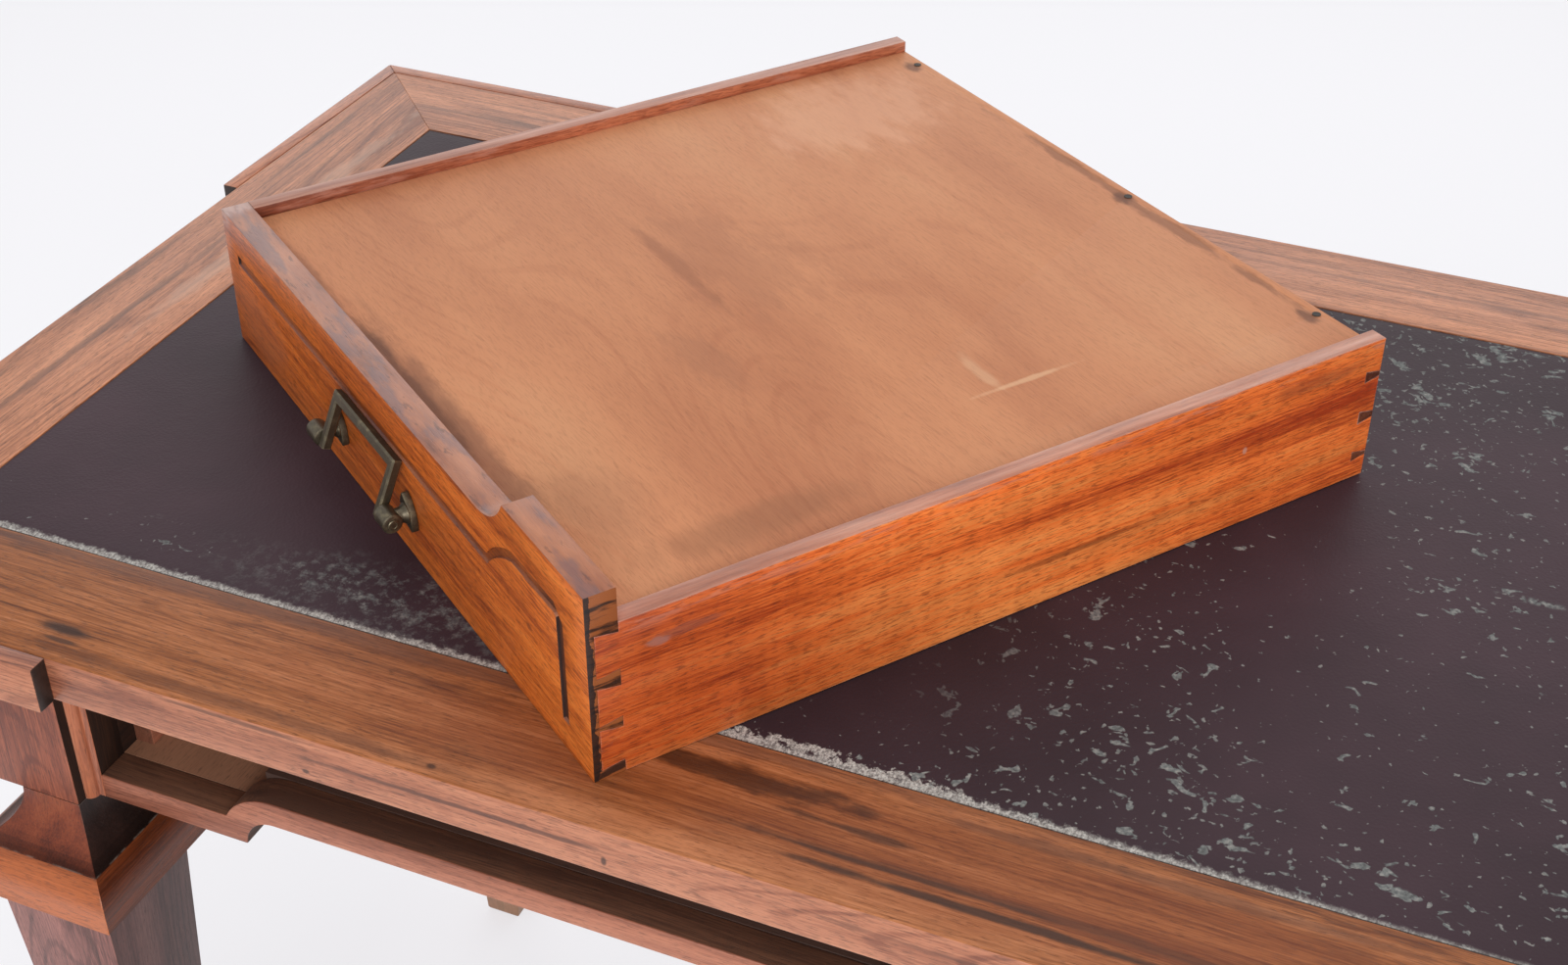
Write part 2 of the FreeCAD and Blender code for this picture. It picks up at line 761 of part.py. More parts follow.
def place_in_right_opening(shape):
    """Move a drawer piece from its own frame into the right opening."""
    seated = shape.copy()
    seated.translate(Vector(left_edge + opening_outer + gap_side, front_edge + frieze_setback,
                            desk_height - level_under - gap_over))
    return mirrored(seated)


def place_on_top(shape):
    """Turn a drawer piece upside down and lay it on the leather."""
    laid = shape.copy()
    laid.rotate(Vector(0, 0, 0), Vector(0, 1, 0), 180)
    laid.rotate(Vector(0, 0, 0), Vector(0, 0, 1), -lay_turn)
    laid.translate(Vector(left_edge + lay_corner_x, front_edge + lay_corner_y, desk_height + lay_gap))
    return laid


def left_and_right(name, shape):
    """Two nodes from one left-hand shape."""
    return {name + "_left": shape, name + "_right": mirrored(shape)}


def build():
    """All sub-parts by node name."""
    parts = {"ground_panel": ground_panel(), "leather_panel": leather_panel()}
    for name, outline in border_outlines().items():
        parts[name] = plan_prism(outline, 0, level_under)
    for at_back, place in ((False, "front"), (True, "rear")):
        parts.update(left_and_right("corner_strips_" + place, corner_strips(at_back)))
        parts.update(left_and_right("corner_block_" + place, corner_block(at_back)))
        parts.update(left_and_right("leg_" + place, leg(at_back)))
        parts.update(left_and_right("collar_" + place, collar(at_back)))
    parts.update(left_and_right("stile", outer_stile()))
    parts["stile_centre"] = centre_stile()
    parts.update(left_and_right("front_rail", front_rail()))
    parts.update(left_and_right("drawer_guide", drawer_guide()))
    parts.update(left_and_right("lower_floor", lower_floor()))
    parts.update(left_and_right("upper_floor", upper_floor()))
    parts.update(left_and_right("runner", runner()))
    parts.update(left_and_right("side_panel", side_panel()))
    parts["centre_partition"] = centre_partition()
    parts["back_panel"] = back_panel()
    parts["glue_blocks"] = glue_blocks()
    for name, shape in drawer_pieces(bail_lean).items():
        parts["left_drawer_" + name] = place_on_top(shape)
    for name, shape in drawer_pieces(0).items():
        parts["right_drawer_" + name] = place_in_right_opening(shape)
    return parts


def main():
    """Write one STEP file for each sub-part."""
    os.makedirs("parts", exist_ok=True)
    for name, shape in build().items():
        shape.exportStep("parts/" + name + ".step")
        print(name, len(shape.Solids), "solids", round(shape.Volume), "mm3", shape.isValid())


main()
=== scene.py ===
"""Leather-topped writing desk with one drawer lifted out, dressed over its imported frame.

The frame gives every node's place in metres, with the front of the desk towards -Y.
Pieces are modelled with Blender's operators at the places the frame gives, then get
procedural wood, leather and metal finishes on Object coordinates.
"""
from __future__ import annotations

import logging
import math
from collections.abc import Callable, Iterator, Sequence
from contextlib import contextmanager
from dataclasses import dataclass, field, replace
from enum import Enum

import bmesh
import bpy
from mathutils import Euler, Matrix, Vector


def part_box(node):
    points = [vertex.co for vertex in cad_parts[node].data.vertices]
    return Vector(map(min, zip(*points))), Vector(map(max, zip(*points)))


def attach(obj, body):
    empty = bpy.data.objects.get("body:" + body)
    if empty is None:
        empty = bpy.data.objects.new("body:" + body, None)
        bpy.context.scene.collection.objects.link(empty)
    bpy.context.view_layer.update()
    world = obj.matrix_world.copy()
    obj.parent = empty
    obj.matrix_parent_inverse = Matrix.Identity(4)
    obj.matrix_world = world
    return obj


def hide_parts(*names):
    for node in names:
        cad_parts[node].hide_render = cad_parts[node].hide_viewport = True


LOG = logging.getLogger("desk")
MM = 0.001
NEAR = 1e-5
CORNERS = ("front_left", "front_right", "rear_left", "rear_right")
Triple = tuple[float, float, float]
Pair = tuple[float, float]
Chart = tuple[int, int, int]
Socket = bpy.types.NodeSocket
Material = bpy.types.Material
Value = float | Sequence[float] | Socket
Test = Callable[[Vector, Vector], bool]
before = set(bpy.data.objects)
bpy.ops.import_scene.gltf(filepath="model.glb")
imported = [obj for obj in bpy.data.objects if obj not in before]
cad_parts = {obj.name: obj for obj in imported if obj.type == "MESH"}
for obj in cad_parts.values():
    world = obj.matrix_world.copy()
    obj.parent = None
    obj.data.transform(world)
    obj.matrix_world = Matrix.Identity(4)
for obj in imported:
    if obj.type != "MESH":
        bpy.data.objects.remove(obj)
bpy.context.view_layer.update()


def paint(*chart: int) -> Triple:
    """Turn a paint chart's 0 to 255 values into the linear colour that a shader takes."""
    shares = [value / 255 for value in chart]
    return tuple(s / 12.92 if s <= 0.04045 else ((s + 0.055) / 1.055) ** 2.4 for s in shares)


def metres(*rows: Sequence[float]) -> list[tuple[float, ...]]:
    """Turn rows of millimetres into metres."""
    return [tuple(value * MM for value in row) for row in rows]


def middle(node: str) -> Triple:
    """Return the middle of a node's box."""
    return tuple(sum(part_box(node), Vector()) / 2)


def corner_of(low: Vector, high: Vector, at_left: bool, in_front: bool) -> Vector:
    """Return one upper corner of a box."""
    return Vector((low.x if at_left else high.x, low.y if in_front else high.y, high.z))


class Along(Enum):
    """Which of a board's own axes its grain runs along."""

    X = 0
    Y = 1
    Z = 2


@dataclass(frozen=True)
class BoardFrame:
    """Where a board's pattern starts and how it is turned.

    Attributes:
        origin: Point of the row frame that the pattern is centred on.
        turn: Rotation of the board in degrees about X, Y and Z.
        flip: True for a board that is mirrored left to right.
        grain: The board's axis that the grain follows.
        shift: Offset into the log, so that no two boards look the same.
    """

    origin: Triple = (0.0, 0.0, 0.0)
    turn: Triple = (0.0, 0.0, 0.0)
    flip: bool = False
    grain: Along = Along.X
    shift: Triple = (0.0, 0.0, 0.0)

    def grain_direction(self) -> Vector:
        """Return the grain's direction in the row frame.

        Returns:
            The direction, one metre long.
        """
        axis = Vector((0.0, 0.0, 0.0))
        axis[self.grain.value] = 1.0
        if self.flip:
            axis.x = -axis.x
        axis.rotate(Euler([math.radians(a) for a in self.turn]))
        return axis


class Nodes:
    """A node tree, with a short method for each kind of node."""

    def __init__(self, tree: bpy.types.NodeTree) -> None:
        """Take a tree and empty it."""
        self.tree = tree
        tree.nodes.clear()

    def node(self, kind: str, inputs: dict[str | int, Value] | None = None, **settings: object) -> bpy.types.Node:
        """Add a node.

        Args:
            kind: Shader node type without its ShaderNode prefix.
            inputs: Input name or number to a number, colour or socket.
            **settings: The node's own properties.

        Returns:
            The new node.
        """
        made = self.tree.nodes.new("ShaderNode" + kind)
        for key, setting in settings.items():
            setattr(made, key, setting)
        for key, value in (inputs or {}).items():
            self.feed(made.inputs[key], value)
        return made

    def feed(self, target: Socket, value: Value) -> None:
        """Link a socket to an input, or set the input's own value.

        Args:
            target: The input.
            value: A socket, a number or a linear colour.
        """
        if isinstance(value, bpy.types.NodeSocket):
            self.tree.links.new(value, target)
        elif target.type == "RGBA" and len(value) == 3:
            target.default_value = (*value, 1.0)
        else:
            target.default_value = value

    def math(self, operation: str, *values: Value) -> Value:
        """Return the result of a Math operation on value after value.

        Args:
            operation: The Math node's operation.
            *values: Two values or more, or one for a function of one value.

        Returns:
            The last node's output, or the value itself if nothing is left to be done with it.
        """
        if len(values) == 1:
            return self.node("Math", {0: values[0]}, operation=operation).outputs[0]
        result = values[0]
        for value in values[1:]:
            result = self.node("Math", {0: result, 1: value}, operation=operation).outputs[0]
        return result

    def total(self, *values: Value) -> Value:
        """Return the sum of values."""
        return self.math("ADD", *values)

    def less(self, value: Value, taken: Value) -> Value:
        """Return one value less another."""
        return self.math("SUBTRACT", value, taken)

    def both(self, *masks: Value) -> Value:
        """Return the product of masks."""
        return self.math("MULTIPLY", *masks)

    def either(self, *masks: Value) -> Value:
        """Return the greatest of masks."""
        return self.math("MAXIMUM", *masks)

    def step(self, value: Value, low: float, high: float, to_low: float = 0.0, to_high: float = 1.0,
             kind: str = "SMOOTHSTEP") -> Socket:
        """Return a step of a value from one level to another, smooth unless its kind is LINEAR."""
        inputs = {"Value": value, "From Min": low, "From Max": high, "To Min": to_low, "To Max": to_high}
        return self.node("MapRange", inputs, interpolation_type=kind).outputs[0]

    def seen(self) -> Value:
        """Return 1 for rays that come from the camera, a mirror image or a clear body."""
        rays = self.node("LightPath").outputs
        return self.either(*(rays[f"Is {kind} Ray"] for kind in ("Camera", "Glossy", "Transmission")))


class Finish(Nodes):
    """One material's node tree and the colour reached so far."""

    def __init__(self, name: str) -> None:
        """Start an empty material.

        Args:
            name: The material's name.
        """
        self.material = bpy.data.materials.new(name)
        self.material.use_nodes = True
        super().__init__(self.material.node_tree)
        self.colour: Value = (0.0, 0.0, 0.0)

    def coords(self) -> Socket:
        """Return Object coordinates."""
        return self.node("TexCoord").outputs["Object"]

    def split(self, vector: Socket) -> Sequence[Socket]:
        """Return a vector's three parts."""
        return self.node("SeparateXYZ", {0: vector}).outputs

    def place(self, board: BoardFrame) -> tuple[Socket, Socket]:
        """Return Object coordinates in a board's own frame, and the same with the grain along X.

        Args:
            board: Where the board lies and how its grain runs.

        Returns:
            The board's own coordinates, and those of the log it was cut from.
        """
        inputs = {"Vector": self.coords(), "Location": board.origin,
                  "Rotation": [math.radians(a) for a in board.turn], "Scale": (-1.0 if board.flip else 1.0, 1.0, 1.0)}
        local = log = self.node("Mapping", inputs, vector_type="TEXTURE").outputs[0]
        if board.grain is not Along.X:
            parts = self.split(local)
            order = (1, 0, 2) if board.grain is Along.Y else (2, 0, 1)
            log = self.node("CombineXYZ", {i: parts[axis] for i, axis in enumerate(order)}).outputs[0]
        return local, self.vector("ADD", log, board.shift)

    def vector(self, operation: str, a: Value, b: Value = (0.0, 0.0, 0.0), output: int | str = 0) -> Socket:
        """Return the result of an operation on vectors."""
        return self.node("VectorMath", {0: a, 1: b}, operation=operation).outputs[output]

    def noise(self, vector: Socket, scale: float, detail: float, rough: float, distort: float = 0.0,
              output: int = 0) -> Socket:
        """Return the value of a noise texture, or its colour as output 1."""
        inputs = {"Vector": vector, "Scale": scale, "Detail": detail, "Roughness": rough, "Distortion": distort}
        return self.node("TexNoise", inputs).outputs[output]

    def grain(self, log: Socket, scale: Sequence[float], detail: float, rough: float, distort: float = 0.0,
              output: int = 0) -> Socket:
        """Return noise with one scale along the grain and another across it.

        Args:
            log: Coordinates with the grain along X.
            scale: Scale along and across the grain, or one for each axis.
            detail: The noise's detail.
            rough: Its roughness.
            distort: Its distortion.
            output: 0 for its value, 1 for its colour.

        Returns:
            The noise.
        """
        stretched = self.vector("MULTIPLY", log, (*scale, scale[-1])[:3])
        return self.noise(stretched, 1.0, detail, rough, distort, output)

    def mix(self, share: Value, a: Value, b: Value, blend: str = "MIX") -> Socket:
        """Return a mix of two colours.

        Args:
            share: How much of the second.
            a: The first colour, linear.
            b: The second colour, linear.
            blend: How they are blended.

        Returns:
            The mix.
        """
        made = self.node("Mix", data_type="RGBA", blend_type=blend)
        for index, value in ((0, share), (6, a), (7, b)):
            self.feed(made.inputs[index], value)
        return made.outputs[2]

    def stain(self, colour: Chart | Socket, *masks: Value) -> None:
        """Turn the colour into another where masks overlap; a number among them weakens it."""
        target = colour if isinstance(colour, bpy.types.NodeSocket) else paint(*colour)
        self.colour = self.mix(self.both(*masks) if len(masks) > 1 else masks[0], self.colour, target)

    def tint(self, factor: Triple, mask: Value) -> None:
        """Multiply the colour by a factor where a mask is set."""
        self.colour = self.mix(mask, self.colour, self.mix(1.0, self.colour, factor, "MULTIPLY"))

    def ramp(self, value: Socket, *stops: tuple[float, int, int, int]) -> Socket:
        """Return a colour ramp's colour for a value.

        Args:
            value: The value.
            *stops: Each stop's position and its paint chart's values.

        Returns:
            The colour.
        """
        made = self.node("ValToRGB", {0: value})
        elements = made.color_ramp.elements
        while len(elements) < len(stops):
            elements.new(0.5)
        for element, (position, *chart) in zip(elements, stops):
            element.position = position
            element.color = (*paint(*chart), 1.0)
        return made.outputs[0]

    def edge_mask(self, radius: float, low: float = 0.02, high: float = 0.25) -> Socket:
        """Return 1 on the arrises of a piece and 0 on its flat faces.

        Args:
            radius: How far the wear reaches from the arris.
            low: Turn of the normal at which it starts.
            high: Turn at which it is full.

        Returns:
            The mask.
        """
        rounded = self.node("Bevel", {"Radius": radius}, samples=6).outputs[0]
        flat = self.node("NewGeometry").outputs["Normal"]
        return self.step(self.less(1.0, self.vector("DOT_PRODUCT", rounded, flat, "Value")), low, high)

    def facing(self, direction: Sequence[float], low: float = 0.75, high: float = 0.95) -> Socket:
        """Return 1 on faces that look along a direction of the row frame."""
        flat = self.node("NewGeometry").outputs["True Normal"]
        return self.step(self.vector("DOT_PRODUCT", flat, tuple(direction), "Value"), low, high)

    def end_mask(self, direction: Sequence[float]) -> Value:
        """Return 1 on the end grain, which looks one way or the other along a direction."""
        return self.either(self.facing(direction), self.facing([-part for part in direction]))

    def spot(self, vector: Socket, centre: Sequence[float], size: Sequence[float], wander: Socket,
             ragged: float = 2.2, soft: float = 0.6) -> Socket:
        """Return a soft blot's mask.

        Args:
            vector: Coordinates in the board's frame.
            centre: The blot's middle in that frame.
            size: Its half sizes.
            wander: Noise that makes its outline uneven.
            ragged: How uneven its outline is.
            soft: Share of the radius over which it fades.

        Returns:
            Mask from 0 to 1.
        """
        scaled = self.vector("DIVIDE", self.vector("SUBTRACT", vector, centre), size)
        distance = self.vector("LENGTH", scaled, output="Value")
        return self.step(self.total(distance, self.both(self.less(wander, 0.5), ragged)), 1.0, 1.0 - soft)

    def close(self, roughness: Value, height: Value, depth: float, **shader: float) -> Material:
        """Finish the material with a Principled shader and a bump.

        Args:
            roughness: Roughness.
            height: Height field for the bump.
            depth: The bump's depth in metres.
            **shader: Further shader inputs, with underscores for spaces.

        Returns:
            The finished material.
        """
        bump = self.node("Bump", {"Height": height, "Distance": depth, "Strength": 1.0})
        inputs = {"Base Color": self.colour, "Roughness": roughness, "Normal": bump.outputs[0]}
        inputs.update({key.replace("_", " "): value for key, value in shader.items()})
        made = self.node("BsdfPrincipled", inputs)
        self.node("OutputMaterial", {"Surface": made.outputs[0]})
        return self.material


@dataclass(frozen=True)
class Blot:
    """A stain, streak or paler patch on a board, or a patch of painted shade or haze, in the board's own frame.

    Attributes:
        centre: Its middle.
        size: Its half sizes.
        colour: What it turns the wood to.
        strength: How strongly.
        ragged: How uneven its outline is.
    """

    centre: Triple
    size: Triple
    colour: Chart
    strength: float
    ragged: float


def blots(plane: tuple[int, int], level: float, depth: float, *rows: Sequence[float]) -> tuple[Blot, ...]:
    """Lay blots on a face.

    Args:
        plane: The two axes that the face lies in.
        level: Place of the face along the third axis in millimetres.
        depth: Half size of the blots along that axis in millimetres.
        *rows: Each blot's middle and half size in the plane in millimetres, its colour,
            strength and raggedness.

    Returns:
        The blots.
    """
    made = []
    for *place, red, green, blue, strength, ragged in rows:
        centre, size = [level] * 3, [depth] * 3
        for number, axis in enumerate(plane):
            centre[axis], size[axis] = place[number], place[number + 2]
        made.append(Blot(*metres(centre, size), (red, green, blue), strength, ragged))
    return tuple(made)


@dataclass(frozen=True)
class Wood:
    """A wood with its cut, pores, polish and wear.

    Attributes:
        name: What the finish is called.
        tones: Palest, middle and darkest colour of the bands.
        ink: Colour of pores, veins and streaks.
        spread: Half of the tone's range that the three colours span; smaller gives more contrast.
        figure: How quickly the figure changes along and across the grain, per metre.
        lines: Number of growth lines in the figure.
        line_share: How much the growth lines show.
        band_share: How much of the tone is in bands along the grain.
        fibre_share: How much of the tone is in fine fibres.
        fleck_share: How much short dark flecks show.
        vein_share: How much the dark veins show.
        vein_level: Noise level at which a vein starts.
        pore_share: How much the pores show.
        worn: Colour of worn arrises.
        worn_share: How much the arrises are worn.
        worn_radius: Width of the wear in metres.
        end: Colour factor of the end grain.
        roughness: Roughness of the polish.
        coat: Weight of the wax coat.
        specular: Specular level.
    """

    name: str
    tones: tuple[Chart, Chart, Chart]
    ink: Chart = (38, 22, 16)
    spread: float = 0.1
    figure: Pair = (1.2, 9.0)
    lines: float = 45.0
    line_share: float = 0.4
    band_share: float = 0.45
    fibre_share: float = 0.27
    fleck_share: float = 0.0
    vein_share: float = 0.5
    vein_level: float = 0.6
    pore_share: float = 0.4
    worn: Chart = (190, 140, 115)
    worn_share: float = 0.5
    worn_radius: float = 0.0012
    end: float = 0.45
    roughness: float = 0.42
    coat: float = 0.0
    specular: float = 0.5

    def dress(self, label: str, board: BoardFrame, marks: Sequence[Blot] = ()) -> Material:
        """Make this wood's material for one board.

        Args:
            label: Name of the board.
            board: Where the board lies and how its grain runs.
            marks: Stains, streaks and paler patches on it, on some boards with painted shade or painted haze among
                them.

        Returns:
            The material.
        """
        f = Finish(f"{self.name}.{label}")
        local, log = f.place(board)
        drift = f.vector("SUBTRACT", f.grain(log, (1.5, 5.0), 2.0, 0.5, output=1), (0.5, 0.5, 0.5))
        bent = f.vector("ADD", log, f.vector("MULTIPLY", drift, (0.0, 0.03, 0.03)))
        wave = f.math("SINE", f.both(f.grain(bent, self.figure, 1.2, 0.5), self.lines * 2 * math.pi))
        patch = f.step(f.grain(log, (3.0, 20.0), 2.0, 0.5), 0.35, 0.62)
        line = f.both(f.step(wave, 0.55, 1.0), patch, self.line_share)
        fibres = f.grain(bent, (24.0, 900.0), 3.0, 0.6)
        tone = f.total(f.both(f.grain(bent, (1.4, 42.0), 4.0, 0.6), self.band_share), f.both(fibres, self.fibre_share),
                       f.both(f.grain(log, (2.4, 8.0), 3.0, 0.55), 1.0 - self.fibre_share - self.band_share))
        tone = f.step(f.less(tone, f.both(line, 0.1)), 0.5 - self.spread, 0.5 + self.spread, kind="LINEAR")
        pale, mid, dark = self.tones
        f.colour = f.ramp(tone, (0.0, *dark), (0.5, *mid), (1.0, *pale))
        veins = f.grain(bent, (2.2, 70.0), 4.0, 0.6, 0.5)
        f.stain(self.ink, f.step(veins, self.vein_level, self.vein_level + 0.1), self.vein_share)
        pores = f.step(f.grain(log, (150.0, 1700.0), 1.0, 0.5), 0.6, 0.7)
        f.stain(self.ink, pores, self.pore_share)
        if self.fleck_share:
            flecks = f.step(f.grain(log, (110.0, 950.0), 2.0, 0.5), 0.52, 0.63)
            f.stain(self.ink, flecks, self.fleck_share)
        wander = f.grain(log, (30.0, 75.0), 4.0, 0.62)
        for mark in marks:
            f.stain(mark.colour, f.spot(local, mark.centre, mark.size, wander, mark.ragged), mark.strength)
        f.tint((self.end,) * 3, f.end_mask(board.grain_direction()))
        self.touch(f, local, log, wander)
        worn = f.both(f.edge_mask(self.worn_radius), f.step(wander, 0.42, 0.62), self.worn_share)
        f.stain(self.worn, worn)
        rough = f.total(self.roughness - 0.07, f.both(fibres, 0.14), f.both(worn, 0.2))
        height = f.less(f.both(fibres, 0.6), f.both(pores, 0.7))
        return f.close(rough, height, 0.0001, Coat_Weight=self.coat, Coat_Roughness=0.28,
                       Specular_IOR_Level=self.specular)

    def touch(self, f: Finish, local: Socket, log: Socket, wander: Socket) -> None:
        """Add this wood's own marks; plain wood has none.

        Args:
            f: The finish being made.
            local: The board's own coordinates.
            log: Coordinates with the grain along X.
            wander: Noise for uneven outlines.
        """


@dataclass(frozen=True)
class FrontWood(Wood):
    """The drawer front's wood: bare edges, dark lap at each end and an incised line darkened with grime and painted
    shade.

    Attributes:
        lap: Width of the dark lap.
        line_grime_and_shade_depth: Depth below the face at which the incised line's darkening, grime and painted
            shade, starts.
        edge_up: Direction in the row frame of the front's lower edge.
        end_out: Direction in the row frame of its deep end.
    """

    lap: float = 0.003
    line_grime_and_shade_depth: float = 0.0006
    edge_up: Triple = (0.0, 0.0, 1.0)
    end_out: Triple = (1.0, 0.0, 0.0)

    def touch(self, f: Finish, local: Socket, log: Socket, wander: Socket) -> None:
        """Add the bare lower edge, the dark lap and end grain, and the incised line's grime and painted shade.

        Args:
            f: The finish being made.
            local: The board's own coordinates.
            log: Coordinates with the grain along X.
            wander: Noise for uneven outlines.
        """
        x, y, z = f.split(local)
        f.tint((0.72, 0.7, 0.72), f.step(z, -0.06, -0.01, 0.0, 0.7))
        upward = f.facing(self.edge_up, 0.3, 0.7)
        bare = f.ramp(f.grain(log, (14.0, 60.0), 4.0, 0.6), (0.32, 104, 64, 50), (0.45, 150, 94, 70),
                      (0.7, 184, 122, 90))
        mottle = f.step(f.grain(local, (14.0, 50.0), 4.0, 0.65), 0.48, 0.6)
        bare = f.mix(f.both(mottle, 0.7), bare, paint(104, 84, 88))
        chips = f.step(f.grain(log, (60.0, 260.0), 3.0, 0.6), 0.6, 0.68)
        f.stain(f.mix(f.both(chips, 0.6), bare, paint(70, 50, 50)), upward, 0.9)
        ends = f.end_mask(self.end_out)
        bands = f.step(f.grain(local, (40.0, 30.0, 260.0), 3.0, 0.6), 0.46, 0.6)
        f.stain(f.mix(bands, paint(150, 84, 44), paint(58, 34, 24)), ends)
        ragged = f.total(y, f.both(f.less(wander, 0.5), -0.008))
        f.stain((28, 22, 22), ends, f.math("LESS_THAN", ragged, self.lap), 0.92)
        # Incised line: its floor and walls darkened as grime and painted shade, weaker towards the ends.
        deep = f.both(f.step(y, 0.0002, self.line_grime_and_shade_depth), f.math("LESS_THAN", y, 0.0025))
        inside = f.both(f.math("GREATER_THAN", x, 0.004), f.math("LESS_THAN", z, -0.012),
                        f.math("LESS_THAN", x, 0.49), f.less(1.0, upward))
        shade = f.either(f.step(z, -0.065, -0.04, 0.55, 0.95), f.step(x, 0.07, 0.035, 0.55, 0.9))
        f.stain((48, 26, 20), deep, inside, shade)
        corner = f.both(f.step(x, 0.478, 0.49), f.step(z, -0.076, -0.086), f.less(1.0, ends))
        f.stain((206, 168, 156), corner, f.step(wander, 0.36, 0.56), 0.7)


@dataclass(frozen=True)
class SideWood(Wood):
    """A drawer side's wood: a bare lower edge and rubbed patches under it.

    Attributes:
        edge_up: Direction in the row frame of the side's lower edge.
        height: Height of the side.
    """

    edge_up: Triple = (0.0, 0.0, 1.0)
    height: float = 0.0935

    def touch(self, f: Finish, local: Socket, log: Socket, wander: Socket) -> None:
        """Add the bare edge, the rubbed patches under it and the darker front end.

        Args:
            f: The finish being made.
            local: The board's own coordinates.
            log: Coordinates with the grain along X.
            wander: Noise for uneven outlines.
        """
        _, y, z = f.split(local)
        f.tint((0.48, 0.4, 0.4), f.both(f.step(f.total(y, f.both(z, -0.9)), 0.3, 0.08), 0.9))
        f.tint((0.74, 0.66, 0.6), f.step(f.grain(log, (46.0, 12.0), 2.0, 0.5), 0.4, 0.66, 0.0, 0.4))
        near = f.step(f.total(z, self.height), 0.013, 0.001)
        f.stain((188, 130, 110), near, f.step(f.grain(log, (20.0, 130.0), 4.0, 0.65), 0.5, 0.62), 0.55)
        bare = f.ramp(f.grain(log, (10.0, 160.0), 4.0, 0.6), (0.3, 136, 90, 74), (0.5, 176, 124, 104),
                      (0.7, 204, 156, 136))
        f.stain(bare, f.facing(self.edge_up, 0.3, 0.7), 0.85)


ROSEWOOD = Wood("rosewood", ((190, 122, 80), (154, 92, 52), (98, 52, 29)), spread=0.09, figure=(0.5, 8.0), lines=60.0,
                line_share=0.55, vein_share=0.45, pore_share=0.45, fleck_share=0.2, roughness=0.38, coat=0.04,
                specular=0.22, worn=(66, 42, 34))
# Paler copy for the side and back borders, seen at a slant: painted haze of reflection.
ROSEWOOD_PAINTED_HAZE = replace(ROSEWOOD, tones=((214, 144, 104), (184, 118, 82), (134, 80, 54)))
EDGE_ROSEWOOD = Wood("edge_rosewood", ((204, 136, 102), (178, 112, 82), (126, 70, 50)), line_share=0.7,
                     vein_level=0.62, fleck_share=0.25, worn=(70, 46, 38), worn_share=0.55, end=0.04, coat=0.1)
CASE_WOOD = Wood("case_wood", ((198, 130, 100), (176, 110, 84), (132, 76, 56)), vein_share=0.3, fleck_share=0.15,
                 roughness=0.45)
# Warmer copy of the case wood for the stile's slanted bead faces: painted orange highlight.
BEAD_PAINTED_HIGHLIGHT = replace(CASE_WOOD, name="bead_painted_highlight", tones=((200, 122, 82), (180, 104, 70), (124, 66, 44)))
BLOCK_WOOD = Wood("block_wood", ((190, 114, 82), (166, 92, 65), (116, 60, 44)), vein_share=0.45, line_share=0.6,
                  fleck_share=0.2, roughness=0.45, coat=0.05)
COVE_WOOD = Wood("cove_wood", ((150, 78, 48), (128, 60, 36), (88, 38, 24)), vein_share=0.3, worn=(210, 190, 175),
                 worn_share=0.25, coat=0.03, specular=0.35)
LEG_WOOD = Wood("leg_wood", ((190, 130, 116), (160, 104, 94), (108, 66, 60)), line_share=0.6, fleck_share=0.2,
                worn=(200, 150, 120))
COLLAR_WOOD = Wood("collar_wood", ((194, 106, 56), (168, 86, 38), (124, 56, 26)), line_share=0.3, vein_share=0.3,
                   vein_level=0.64, fleck_share=0.25, roughness=0.36, coat=0.1, worn=(225, 190, 165))
# Darker copies for the inward faces of the front legs: painted shade under the desk top.
PAINTED_SHADE_LEG = replace(LEG_WOOD, name="painted_shade_leg", tones=((118, 84, 78), (96, 66, 62), (66, 44, 42)), specular=0.3)
PAINTED_SHADE_COVE = replace(COVE_WOOD, name="painted_shade_cove", tones=((62, 40, 34), (46, 30, 26), (30, 20, 18)), coat=0.0,
                     specular=0.25)
PAINTED_SHADE_COLLAR = replace(COLLAR_WOOD, name="painted_shade_collar", tones=((146, 76, 40), (120, 58, 28), (82, 38, 20)), coat=0.0,
                       specular=0.3)
FRONT_WOOD = FrontWood("front_wood", ((244, 138, 58), (218, 112, 40), (154, 68, 24)), line_share=0.5, vein_share=0.4,
                       vein_level=0.61, fleck_share=0.4, roughness=0.4, coat=0.03, specular=0.35, ink=(58, 26, 14),
                       worn=(52, 34, 28), worn_share=0.75)
SIDE_WOOD = SideWood("side_wood", ((255, 154, 80), (255, 126, 54), (182, 66, 26)), spread=0.09, line_share=0.15,
                     vein_share=0.2, vein_level=0.62, pore_share=0.5, fleck_share=0.45, ink=(110, 44, 22), coat=0.03,
                     specular=0.35, worn=(222, 190, 178), worn_share=0.8, worn_radius=0.0016, end=0.36)
DULL_SIDE = replace(SIDE_WOOD, name="dull_side", tones=((206, 128, 92), (184, 106, 74), (140, 72, 48)))
BOTTOM_WOOD = Wood("bottom_wood", ((214, 154, 112), (204, 138, 98), (178, 112, 78)), spread=0.2, figure=(1.1, 3.4),
                   lines=70.0, line_share=0.5, band_share=0.12, fibre_share=0.14, vein_share=0.06, vein_level=0.66,
                   pore_share=0.15, fleck_share=0.12, ink=(112, 66, 44), roughness=0.62, specular=0.25,
                   worn_share=0.15)
INNER_WOOD = Wood("inner_wood", ((150, 102, 76), (122, 82, 60), (84, 54, 40)), vein_share=0.3, roughness=0.7,
                  worn=(160, 120, 92), worn_share=0.3)
FLOOR_WOOD = replace(INNER_WOOD, name="floor_wood", tones=((174, 124, 96), (148, 104, 78), (118, 82, 62)), spread=0.2,
                     line_share=0.1, vein_share=0.1, band_share=0.15)
